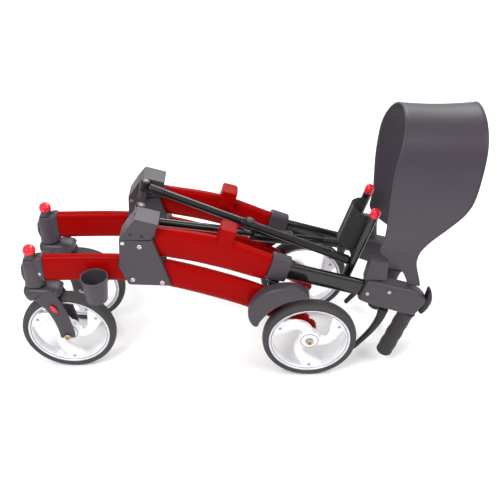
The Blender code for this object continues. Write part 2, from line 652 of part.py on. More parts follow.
def build_seat(group):
    """Seat sling, folded into a loop that hangs from the seat rails toward the hinge."""
    inset = SIDE_Y - POST_OFFSET - SEAT_TUBE_R - GAP - SEAT_SLING_THICK
    line = smooth([(BRACE_HIGH_U, -inset), (BRACE_HIGH_U - 0.020, -inset + 0.004),
                   (BRACE_HIGH_U - 0.036, -0.014), (BRACE_HIGH_U - 0.036, 0.014),
                   (BRACE_HIGH_U - 0.020, inset - 0.004), (BRACE_HIGH_U, inset)], 4)
    shape = ribbon(line, [SEAT_SLING_THICK / 2] * len(line))
    top = SEAT_TUBE_HIGH - 0.006
    middle = (SLING_LOW + top) / 2
    half = (top - SLING_LOW) / 2
    c = math.cos(TILT)
    s = math.sin(TILT)
    centre = fold_point(0.0, middle)
    turn = Matrix(((c, 0.0, s), (0.0, 1.0, 0.0), (-s, 0.0, c))).to_4x4()
    return plate("seat_sling", [shape], half, Matrix.Translation(centre) @ turn, "seat_fabric", group)


def build_band(group, cutters):
    """Back band: a semi-rigid strap that loops up from one band clamp and down to the other."""
    half_path = [(-SIDE_Y, 0.200), (-SIDE_Y, 0.290), (-BAND_HALF_Y + 0.007, 0.370), (-BAND_HALF_Y, 0.450),
                 (-BAND_HALF_Y + 0.012, 0.528), (-BAND_HALF_Y + 0.047, BAND_TOP - 0.014)]
    path = smooth(half_path + [(0.0, BAND_TOP)] + [(-y, z) for y, z in half_path[::-1]], 4)
    middle_x = (BAND_FRONT_X + BAND_REAR_X) / 2
    across = Matrix(((0.0, 0.0, 1.0), (1.0, 0.0, 0.0), (0.0, 1.0, 0.0))).to_4x4()
    half_width = (BAND_REAR_X - BAND_FRONT_X) / 2 + 0.02
    band = plate("back_band", [ribbon(path, [BAND_THICK / 2] * len(path))], half_width,
                 Matrix.Translation((middle_x, 0.0, 0.0)) @ across, "band_fabric", group)
    foot_front = fold_point(BAND_FOOT_U, BAND_FOOT_F)
    foot_rear = fold_point(BAND_FOOT_U + BAND_FOOT_WIDTH, BAND_FOOT_F)
    front_edge = smooth([(0.318, 0.2925), (0.276, 0.2925), (0.290, 0.345), (BAND_FRONT_X, 0.430),
                         (0.290, 0.505), (0.297, 0.620)], 4)
    rear_edge = smooth([(BAND_REAR_X, 0.620), (BAND_REAR_X, 0.553), (0.446, 0.450), (0.438, 0.416),
                        (0.420, 0.389), (0.395, 0.360), (0.370, 0.327), (0.354, 0.288), (0.358, 0.262),
                        (foot_rear.x, foot_rear.z)], 4)
    keep = plate("band_silhouette", [front_edge + rear_edge + [(foot_front.x, foot_front.z)]],
                 2 * BAND_HALF_Y, side_plane(0.0), "band_fabric", cutters)
    return combine(band, keep, "INTERSECT")


def build_cup(group):
    """Cane cup on the outside of the left rail."""
    wall = CUP_WALL
    height = CUP_DEPTH
    place = Matrix.Translation((CUP_X, -(SIDE_Y + RAIL_HALF_T + GAP + CUP_R), CUP_FLOOR_Z))
    return turned("cane_cup", [(0.0, 0.0), (CUP_R - 0.006, 0.0), (CUP_R, height), (CUP_R - wall, height),
                               (CUP_R - 0.006 - wall, wall), (0.0, wall)], place, "grey_plastic", group, 36)


def gather(name, place, members, group):
    """Parent the members to an empty on their joint's axis."""
    hub = bpy.data.objects.new(name, None)
    hub.location = place
    group.objects.link(hub)
    bpy.context.view_layer.update()
    for thing in members:
        thing.parent = hub
        thing.matrix_parent_inverse = hub.matrix_world.inverted()
    hub.location.y += FOOTPRINT_SHIFT
    return hub


def main():
    """Build every piece and hang it on the empty of its joint."""
    clear_scene()
    group = new_collection("rollator")
    cutters = new_collection("rollator_cutters")
    brace = build_brace(group, cutters)
    hubs = {}
    uprights = {}
    for side, sign in SIDES.items():
        y = sign * SIDE_Y
        frame = build_side(side, sign, group, cutters)
        fork, front_wheel = build_caster(side, sign, group, cutters)
        uprights[side], knob = build_upright(side, sign, group, cutters)
        handle, lever = build_handle(side, sign, group, cutters)
        hubs[side] = gather(f"{side}_side_axis", (PIVOT.x, y, PIVOT.z), frame["side"], group)
        gather(f"{side}_caster_axis", (STEM_X, y, CROWN_Z), fork, group)
        gather(f"{side}_front_wheel_axis", (FRONT_AXLE_X, y, WHEEL_R), front_wheel, group)
        gather(f"{side}_rear_wheel_axis", (REAR_AXLE_X, sign * (SIDE_Y + REAR_WHEEL_OUT), WHEEL_R),
               frame["rear_wheel"], group)
        gather(f"{side}_cap_axis", (STEM_X, y, HOUSING_TOP), frame["cap"], group)
        gather(f"{side}_upright_axis", (PIVOT.x, y, PIVOT.z), uprights[side], group)
        knob_u = UPRIGHT_END + GAP + COLLAR_LENGTH / 2
        gather(f"{side}_knob_axis", fold_point(knob_u, 0.0, y), knob, group)
        gather(f"{side}_handle_axis", fold_point(BLOCK_START, TUBE_F, y), handle, group)
        gather(f"{side}_lever_axis", fold_point(LEVER_U, -0.0280, y), lever, group)
        seat_y = sign * (SIDE_Y - POST_OFFSET)
        gather(f"{side}_seat_axis", fold_point(BRACE_HIGH_U, 0.0, seat_y),
               [brace[f"{side}_rail"], brace[f"{side}_cap"]], group)
    gather("cross_bar_b_axis", fold_point(BRACE_LOW_U, BAR_B_F, -(SIDE_Y - POST_OFFSET)),
           [brace["cross_bar_b"], brace["washer"]], group)
    middle = (BRACE_LOW_U + BRACE_HIGH_U) / 2
    gather("cross_bar_a_axis", fold_point(middle, BAR_A_F), [brace["cross_bar_a"]], group)
    gather("cane_cup_axis", (PIVOT.x, -SIDE_Y, PIVOT.z), [build_cup(group)], group)
    gather("seat_axis", fold_point(BRACE_HIGH_U, 0.0), [build_seat(group)], group)
    gather("band_axis", fold_point(BLOCK_START, 0.09), [build_band(group, cutters)], group)
    for cutter in cutters.objects:
        cutter.location.y += FOOTPRINT_SHIFT


main()
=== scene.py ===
"""Finished looks of the folded rollator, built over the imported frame."""

import logging
import math
from dataclasses import dataclass
from enum import Enum

import bmesh
import bpy
import numpy as np
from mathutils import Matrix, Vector

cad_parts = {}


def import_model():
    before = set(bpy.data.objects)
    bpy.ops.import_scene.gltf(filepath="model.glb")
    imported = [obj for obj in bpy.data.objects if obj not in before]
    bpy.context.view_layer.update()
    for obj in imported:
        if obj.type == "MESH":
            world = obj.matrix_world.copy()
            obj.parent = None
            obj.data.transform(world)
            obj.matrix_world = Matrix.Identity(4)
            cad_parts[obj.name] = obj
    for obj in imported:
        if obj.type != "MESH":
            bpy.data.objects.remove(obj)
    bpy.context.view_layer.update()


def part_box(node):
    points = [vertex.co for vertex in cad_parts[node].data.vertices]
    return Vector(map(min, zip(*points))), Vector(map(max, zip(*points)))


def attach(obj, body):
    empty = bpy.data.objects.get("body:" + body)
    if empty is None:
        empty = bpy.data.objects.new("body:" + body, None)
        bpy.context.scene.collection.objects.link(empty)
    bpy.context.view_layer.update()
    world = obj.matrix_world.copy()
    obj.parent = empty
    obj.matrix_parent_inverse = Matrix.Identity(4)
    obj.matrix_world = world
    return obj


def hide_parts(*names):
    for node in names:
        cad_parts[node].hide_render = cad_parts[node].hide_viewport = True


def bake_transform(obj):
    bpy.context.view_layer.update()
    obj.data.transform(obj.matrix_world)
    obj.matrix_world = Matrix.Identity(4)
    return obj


LOG = logging.getLogger("rollator")
TILT = math.radians(16.7)
REFERENCE = np.array([-0.193, 0.0, 0.335])
DOWN_SLOPE = np.array([math.cos(TILT), 0.0, -math.sin(TILT)])
SQUARE = np.array([math.sin(TILT), 0.0, math.cos(TILT)])
ACROSS = np.array([0.0, 1.0, 0.0])
UP = np.array([0.0, 0.0, 1.0])
FOOTPRINT_SHIFT = 0.01015
SIDE_PLANE = 0.0762
BRACE_PLANE = 0.0452
BRACE_LOW = -0.015
BRACE_HIGH = 0.433
CHEEK_FACE = 0.0226
BLOCK_FACE = 0.0186
STEM_X = -0.417
REAR_AXLE = np.array([0.149, 0.0, 0.100])


class Side(Enum):
    """The two sides of the walker, with the sign of their Y."""

    LEFT = -1.0
    RIGHT = 1.0

    @property
    def word(self) -> str:
        """Side's name as the frame's nodes spell it."""
        return self.name.lower()


def folded(u: float, f: float, y: float = 0.0) -> np.ndarray:
    """Point of the folded upright.

    Args:
        u: Distance down the upright, in metres.
        f: Distance square to it and upward, in metres.
        y: Distance across the walker, in metres.

    Returns:
        The point in the shared frame.
    """
    return REFERENCE + u * DOWN_SLOPE + f * SQUARE + y * ACROSS


def folded_path(places: list, y: float = 0.0) -> np.ndarray:
    """Points of the folded upright, one row for each (u, f) place."""
    return np.array([folded(u, f, y) for u, f in places])


def node_box(node: str) -> tuple:
    """Low and high corners of a frame node, before the footprint's shift.

    Args:
        node: Name of the node in the frame.

    Returns:
        The two corners as arrays.
    """
    low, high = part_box(node)
    return np.array(low) - FOOTPRINT_SHIFT * ACROSS, np.array(high) - FOOTPRINT_SHIFT * ACROSS


def spline(points: np.ndarray, count: int) -> np.ndarray:
    """Catmull-Rom curve: each span blends its four nearest points with cubic weights.

    Args:
        points: Control points, one row each.
        count: Samples over the whole curve.

    Returns:
        Sampled points, one row each.
    """
    p = np.asarray(points, float)
    padded = np.vstack([2 * p[0] - p[1], p, 2 * p[-1] - p[-2]])
    s = np.linspace(0, len(p) - 1, count)
    k = np.minimum(s.astype(int), len(p) - 2)
    t = (s - k)[:, None]
    a, b, c, d = padded[k], padded[k + 1], padded[k + 2], padded[k + 3]
    return 0.5 * (2 * b + (c - a) * t + (2 * a - 5 * b + 4 * c - d) * t**2 + (3 * b - a - 3 * c + d) * t**3)


class GridMesh:
    """Makes Blender meshes from numpy grids of points."""

    @staticmethod
    def make(name: str, grid: np.ndarray, around: bool = False, along: bool = False,
             capped: bool = False) -> bpy.types.Object:
        """Turn a grid of points into a mesh of quads.

        Args:
            name: Object name.
            grid: Points shaped (rows, columns, 3).
            around: Join the last column to the first.
            along: Join the last row to the first.
            capped: Close the first and last rows with one face each.

        Returns:
            The new object, at the origin, moved across with the frame's centred footprint.
        """
        grid = grid + FOOTPRINT_SHIFT * ACROSS
        rows, columns = grid.shape[:2]
        index = np.arange(rows * columns).reshape(rows, columns)
        r = np.arange(rows if along else rows - 1)
        c = np.arange(columns if around else columns - 1)
        rr, cc = np.meshgrid(r, c, indexing="ij")
        nr, nc = (rr + 1) % rows, (cc + 1) % columns
        quads = np.stack([index[rr, cc], index[rr, nc], index[nr, nc], index[nr, cc]], -1).reshape(-1, 4)
        faces = quads.tolist()
        if capped:
            faces += [index[0, ::-1].tolist(), index[-1].tolist()]
        mesh = bpy.data.meshes.new(name)
        mesh.from_pydata(grid.reshape(-1, 3).tolist(), [], faces)
        mesh.validate()
        thing = bpy.data.objects.new(name, mesh)
        bpy.context.scene.collection.objects.link(thing)
        GridMesh.outward(thing, around)
        mesh.polygons.foreach_set("use_smooth", np.ones(len(mesh.polygons), bool))
        return thing

    @staticmethod
    def outward(thing: bpy.types.Object, closed: bool) -> None:
        """Flip a closed mesh if its signed volume is negative."""
        if not closed:
            return
        work = bmesh.new()
        work.from_mesh(thing.data)
        bmesh.ops.remove_doubles(work, verts=work.verts, dist=1e-7)
        bmesh.ops.recalc_face_normals(work, faces=work.faces)
        if work.calc_volume(signed=True) < 0:
            bmesh.ops.reverse_faces(work, faces=work.faces)
        work.to_mesh(thing.data)
        work.free()


def crease(thing: bpy.types.Object, angle: float = 40.0) -> bpy.types.Object:
    """Shade flat across edges sharper than the angle, in degrees."""
    thing.data.set_sharp_from_angle(angle=math.radians(angle))
    return thing


def loft(name: str, path: np.ndarray, height: np.ndarray, width: np.ndarray, square: float = 2.6,
         round_end: float = 0.004, columns: int = 48, side: np.ndarray = ACROSS) -> bpy.types.Object:
    """Solid bar: a superellipse section carried along a path, shrinking in a quarter round at both ends.

    Args:
        name: Object name.
        path: Centreline points, one row each.
        height: Half height at each point, square to the path and to `side`.
        width: Half width at each point, along `side`.
        square: Superellipse power: 2 is an ellipse, 8 nearly a box.
        round_end: Reach of the rounding at both ends.
        columns: Points round the section.
        side: Direction of the width.

    Returns:
        The closed bar.
    """
    path = np.asarray(path, float)
    count = len(path)
    height = np.broadcast_to(np.asarray(height, float), count)
    width = np.broadcast_to(np.asarray(width, float), count)
    steps = np.linalg.norm(np.diff(path, axis=0), axis=1)
    run = np.concatenate([[0], np.cumsum(steps)])
    reach = min(round_end, run[-1] / 2.1)
    bend = np.linspace(0, math.pi / 2, 6)
    start = reach * (1 - np.cos(bend))
    inner = run[(run > reach * 1.02) & (run < run[-1] - reach * 1.02)]
    at = np.concatenate([start, inner, (run[-1] - start)[::-1]])
    shrink = np.concatenate([np.sin(bend), np.ones(len(inner)), np.sin(bend)[::-1]])
    centre = np.stack([np.interp(at, run, path[:, k]) for k in range(3)], 1)
    h = np.interp(at, run, height)
    w = np.interp(at, run, width)
    small = np.minimum(h, w)
    edge = np.minimum(reach, small * 0.98) * (1 - shrink)
    tangent = np.gradient(path, run, axis=0)
    tangent = np.stack([np.interp(at, run, tangent[:, k]) for k in range(3)], 1)
    tangent /= np.linalg.norm(tangent, axis=1)[:, None]
    across = side - tangent * (tangent @ side)[:, None]
    across /= np.linalg.norm(across, axis=1)[:, None]
    up = np.cross(tangent, across)
    theta = np.linspace(0, 2 * math.pi, columns, endpoint=False)
    cu = np.sign(np.cos(theta)) * np.abs(np.cos(theta)) ** (2 / square)
    su = np.sign(np.sin(theta)) * np.abs(np.sin(theta)) ** (2 / square)
    grid = (centre[:, None] + up[:, None] * ((h - edge)[:, None] * cu)[..., None]
            + across[:, None] * ((w - edge)[:, None] * su)[..., None])
    return GridMesh.make(name, grid, around=True, capped=True)


def revolve(name: str, profile: np.ndarray, origin: np.ndarray, axis: np.ndarray, columns: int = 64,
            ring: bool = False) -> bpy.types.Object:
    """Turned solid: each profile point (radius, height) becomes a circle about the axis.

    Args:
        name: Object name.
        profile: Rows of radius and height.
        origin: Point on the axis at height 0.
        axis: Direction of the axis.
        columns: Points round the circle.
        ring: The profile is a closed loop.

    Returns:
        The closed solid.
    """
    axis = np.asarray(axis, float) / np.linalg.norm(axis)
    helper = np.array([1.0, 0, 0]) if abs(axis[0]) < 0.8 else np.array([0, 0, 1.0])
    e1 = np.cross(axis, helper)
    e1 /= np.linalg.norm(e1)
    e2 = np.cross(axis, e1)
    theta = np.linspace(0, 2 * math.pi, columns, endpoint=False)
    circle = np.cos(theta)[:, None] * e1 + np.sin(theta)[:, None] * e2
    profile = np.asarray(profile, float)
    grid = origin + profile[:, None, 0:1] * circle[None] + profile[:, None, 1:2] * axis
    return GridMesh.make(name, grid, around=True, along=ring, capped=not ring)


def soften(profile: list, radius: float = 0.001, steps: int = 4) -> np.ndarray:
    """Round each inner corner of an open profile with a quadratic blend.

    Args:
        profile: Rows of radius and height.
        radius: Reach of each rounding.
        steps: Points in each rounding.

    Returns:
        The rounded profile.
    """
    p = np.asarray(profile, float)
    t = np.linspace(0, 1, steps)[:, None]
    out = [p[:1]]
    for before, here, after in zip(p[:-2], p[1:-1], p[2:]):
        back, on = before - here, after - here
        a = here + back / np.linalg.norm(back) * min(radius, np.linalg.norm(back) / 2.1)
        b = here + on / np.linalg.norm(on) * min(radius, np.linalg.norm(on) / 2.1)
        out.append(a * (1 - t) ** 2 + here * 2 * t * (1 - t) + b * t**2)
    out.append(p[-1:])
    return np.vstack(out)


def turned(name: str, corners: list, radius: float, origin: np.ndarray, axis: np.ndarray,
           columns: int = 48) -> bpy.types.Object:
    """Turned solid from an open profile's corners, each rounded.

    Args:
        name: Object name.
        corners: Rows of radius and height.
        radius: Reach of each corner's rounding.
        origin: Point on the axis at height 0.
        axis: Direction of the axis.
        columns: Points round the circle.

    Returns:
        The closed solid.
    """
    return revolve(name, soften(corners, radius), origin, axis, columns)


class NodeGroups:
    """Shader node groups that several finishes share."""

    made: dict = {}

    @classmethod
    def _start(cls, name: str, inputs: tuple, outputs: tuple) -> tuple:
        """Start a group whose sockets are all numbers.

        Args:
            name: Group's name.
            inputs: Names of its inputs.
            outputs: Names of its outputs.

        Returns:
            The tree, its nodes, its input node and its output node.
        """
        tree = bpy.data.node_groups.new(name, "ShaderNodeTree")
        for way, names in (("INPUT", inputs), ("OUTPUT", outputs)):
            for socket in names:
                tree.interface.new_socket(socket, in_out=way, socket_type="NodeSocketFloat")
        cls.made[name] = tree
        return tree, tree.nodes, tree.nodes.new("NodeGroupInput"), tree.nodes.new("NodeGroupOutput")

    @classmethod
    def grain(cls) -> bpy.types.NodeTree:
        """Moulded grain: a fine noise for height and a broad one for shade."""
        if "moulded_grain" in cls.made:
            return cls.made["moulded_grain"]
        tree, n, inp, out = cls._start("moulded_grain", ("Fine Scale", "Blotch Scale"), ("Height", "Blotch"))
        place = n.new("ShaderNodeTexCoord")
        fine, blotch = n.new("ShaderNodeTexNoise"), n.new("ShaderNodeTexNoise")
        fine.inputs["Detail"].default_value = 4
        blotch.inputs["Detail"].default_value = 3
        for noise, scale in ((fine, "Fine Scale"), (blotch, "Blotch Scale")):
            tree.links.new(place.outputs["Object"], noise.inputs["Vector"])
            tree.links.new(inp.outputs[scale], noise.inputs["Scale"])
        tree.links.new(fine.outputs["Fac"], out.inputs["Height"])
        tree.links.new(blotch.outputs["Fac"], out.inputs["Blotch"])
        return tree

    @classmethod
    def weave(cls) -> bpy.types.NodeTree:
        """Plain weave: two sine bands crossing on the piece's own UV, the higher one showing."""
        if "plain_weave" in cls.made:
            return cls.made["plain_weave"]
        tree, n, inp, out = cls._start("plain_weave", ("Threads",), ("Height",))
        place = n.new("ShaderNodeTexCoord")
        high = n.new("ShaderNodeMath")
        high.operation = "MAXIMUM"
        for slot, direction in enumerate(("X", "Y")):
            wave = n.new("ShaderNodeTexWave")
            wave.bands_direction = direction
            tree.links.new(place.outputs["UV"], wave.inputs["Vector"])
            tree.links.new(inp.outputs["Threads"], wave.inputs["Scale"])
            tree.links.new(wave.outputs["Fac"], high.inputs[slot])
        tree.links.new(high.outputs[0], out.inputs["Height"])
        return tree

    @classmethod
    def edge_wear(cls) -> bpy.types.NodeTree:
        """Edge mask: how far the rounded normal turns from the true one, broken up by a patchy noise."""
        if "edge_wear" in cls.made:
            return cls.made["edge_wear"]
        tree, n, inp, out = cls._start("edge_wear", ("Radius", "Patch Scale"), ("Mask",))
        rounded, true = n.new("ShaderNodeBevel"), n.new("ShaderNodeNewGeometry")
        turn = n.new("ShaderNodeVectorMath")
        turn.operation = "DOT_PRODUCT"
        mask = n.new("ShaderNodeMapRange")
        mask.inputs["From Min"].default_value = 0.985
        mask.inputs["From Max"].default_value = 0.86
        place, patch = n.new("ShaderNodeTexCoord"), n.new("ShaderNodeTexNoise")
        patch.inputs["Detail"].default_value = 3
        share = n.new("ShaderNodeMath")
        share.operation = "MULTIPLY"
        for source, socket, target, entry in (
                (inp, "Radius", rounded, "Radius"), (rounded, "Normal", turn, 0), (true, "Normal", turn, 1),
                (turn, "Value", mask, "Value"), (place, "Object", patch, "Vector"),
                (inp, "Patch Scale", patch, "Scale"), (mask, "Result", share, 0), (patch, "Fac", share, 1),
                (share, 0, out, "Mask")):
            tree.links.new(source.outputs[socket], target.inputs[entry])
        return tree


@dataclass(frozen=True)
class Finish:
    """A surface finish: its colour, gloss and grain."""

    name: str
    colour: tuple
    shade: tuple
    roughness: float
    metallic: float = 0.0
    coat: float = 0.0
    specular: float = 0.5
    sheen: float = 0.0
    fine: float = 900.0
    blotch: float = 12.0
    depth: float = 0.00005
    woven: float = 0.0
    wear: tuple = ()

    def build(self) -> bpy.types.Material:
        """Make the material, or return it if it is made."""
        found = bpy.data.materials.get("finish_" + self.name)
        if found:
            return found
        made = bpy.data.materials.new("finish_" + self.name)
        made.use_nodes = True
        tree = made.node_tree
        shader = tree.nodes["Principled BSDF"]
        settings = (("Metallic", self.metallic), ("Coat Weight", self.coat), ("Coat Roughness", 0.08),
                    ("Specular IOR Level", self.specular), ("Sheen Weight", self.sheen))
        for socket, value in settings:
            shader.inputs[socket].default_value = value
        grain = tree.nodes.new("ShaderNodeGroup")
        grain.node_tree = NodeGroups.grain()
        grain.inputs["Fine Scale"].default_value = self.fine
        grain.inputs["Blotch Scale"].default_value = self.blotch
        tint = tree.nodes.new("ShaderNodeMix")
        tint.data_type = "RGBA"
        tint.inputs["A"].default_value = (*self.colour, 1)
        tint.inputs["B"].default_value = (*self.shade, 1)
        tree.links.new(grain.outputs["Blotch"], tint.inputs["Factor"])
        tree.links.new(self._worn(tree, tint.outputs["Result"]), shader.inputs["Base Color"])
        rough = tree.nodes.new("ShaderNodeMapRange")
        spread = 0.06
        rough.inputs["To Min"].default_value = self.roughness - spread
        rough.inputs["To Max"].default_value = self.roughness + spread
        tree.links.new(grain.outputs["Blotch"], rough.inputs["Value"])
        tree.links.new(rough.outputs["Result"], shader.inputs["Roughness"])
        bump = tree.nodes.new("ShaderNodeBump")
        bump.inputs["Distance"].default_value = self.depth
        bump.inputs["Strength"].default_value = 0.6
        if self.woven:
            weave = tree.nodes.new("ShaderNodeGroup")
            weave.node_tree = NodeGroups.weave()
            weave.inputs["Threads"].default_value = self.woven
            tree.links.new(weave.outputs["Height"], bump.inputs["Height"])
        else:
            tree.links.new(grain.outputs["Height"], bump.inputs["Height"])
        tree.links.new(bump.outputs["Normal"], shader.inputs["Normal"])
        return made

    def _worn(self, tree: bpy.types.NodeTree, colour: bpy.types.NodeSocket) -> bpy.types.NodeSocket:
        """Lighten the colour where the shared edge mask says the surface is rubbed."""
        if not self.wear:
            return colour
        edge = tree.nodes.new("ShaderNodeGroup")
        edge.node_tree = NodeGroups.edge_wear()
        edge.inputs["Radius"].default_value = 0.0012
        edge.inputs["Patch Scale"].default_value = 90
        rubbed = tree.nodes.new("ShaderNodeMix")
        rubbed.data_type = "RGBA"
        rubbed.inputs["B"].default_value = (*self.wear, 1)
        tree.links.new(colour, rubbed.inputs["A"])
        tree.links.new(edge.outputs["Mask"], rubbed.inputs["Factor"])
        return rubbed.outputs["Result"]

    def dress(self, thing: bpy.types.Object) -> bpy.types.Object:
        """Give the piece this finish."""
        thing.data.materials.clear()
        thing.data.materials.append(self.build())
        return thing

    def mount(self, thing: bpy.types.Object, body: str, node: str = "") -> None:
        """Dress a piece and put it on its body, in place of a frame node if one is named.

        Args:
            thing: The piece.
            body: Body that it rides on.
            node: Frame node that it stands for.
        """
        self.dress(thing)
        if node:
            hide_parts(node)
        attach(thing, body)


RED = Finish("red_paint", (0.300, 0.0012, 0.0008), (0.262, 0.0010, 0.0007), 0.34, coat=0.0, specular=0.05,
             fine=500, depth=0.00002, wear=(0.36, 0.030, 0.026))
GREY = Finish("grey_plastic", (0.054, 0.044, 0.055), (0.043, 0.035, 0.044), 0.44, specular=0.34, fine=1400,
              wear=(0.115, 0.102, 0.115))
BLACK = Finish("black_plastic", (0.010, 0.008, 0.010), (0.006, 0.005, 0.006), 0.40, specular=0.38,
               fine=1400, wear=(0.040, 0.036, 0.040))
TUBE = Finish("black_tube", (0.008, 0.007, 0.008), (0.005, 0.004, 0.005), 0.18, specular=0.55, fine=800,
              depth=0.00002, wear=(0.030, 0.027, 0.030))
RUBBER = Finish("tyre_rubber", (0.054, 0.049, 0.052), (0.038, 0.035, 0.037), 0.70, specular=0.30, fine=1100,
                wear=(0.085, 0.079, 0.082))
RIM = Finish("silver_rim", (0.80, 0.80, 0.84), (0.74, 0.74, 0.79), 0.28, metallic=0.20, coat=0.3,
             depth=0.00002)
# Dark grey for the spoke marks and the raised rings; the ring just inside the rim lip is painted shadow for
# the shade under the lip.
MARK_AND_SHADOW_GREY = Finish("rim_line", (0.26, 0.26, 0.29), (0.20, 0.20, 0.23), 0.40)
STEEL = Finish("steel", (0.66, 0.63, 0.60), (0.52, 0.50, 0.48), 0.28, metallic=1.0, depth=0.00002)
BRASS = Finish("brass_bolt", (0.55, 0.42, 0.24), (0.45, 0.34, 0.20), 0.30, metallic=1.0)
BUTTON = Finish("red_plastic", (0.72, 0.012, 0.030), (0.62, 0.008, 0.020), 0.26, coat=0.4, specular=0.3,
                depth=0.00002)
GRIP = Finish("grip_rubber", (0.034, 0.029, 0.035), (0.024, 0.020, 0.025), 0.60, specular=0.30, fine=1600,
              depth=0.00012, wear=(0.060, 0.053, 0.061))
BAND = Finish("band_fabric", (0.046, 0.036, 0.049), (0.036, 0.028, 0.039), 0.38, sheen=0.04, specular=0.36,
              woven=260, depth=0.00004)
SLING = Finish("seat_fabric", (0.008, 0.007, 0.008), (0.005, 0.004, 0.005), 0.80, sheen=0.1, woven=200,
               depth=0.00012)


@dataclass
class Screw:
    """Round-headed screw with a hex socket."""

    radius: float = 0.0042
    rise: float = 0.0018

    def make(self, name: str, at: np.ndarray, out: np.ndarray, body: str, finish: Finish = STEEL) -> None:
        """Make the head as a domed turned shape with a sunk six-sided socket.

        Args:
            name: Object name.
            at: Centre of the head's seat.
            out: Direction the head faces.
            body: Body that it rides on.
            finish: Its finish.
        """
        bend = np.linspace(0, math.pi / 2, 7)
        dome = [(self.radius * math.cos(b), self.rise * math.sin(b)) for b in bend[:-2]]
        socket = [(self.radius * 0.42, self.rise), (self.radius * 0.40, self.rise * 0.25)]
        profile = [(self.radius, -0.0004), *dome, *socket, (self.radius * 0.05, self.rise * 0.22)]
        head = crease(revolve(name, np.array(profile), at, out, 24), 30)
        finish.mount(head, body)


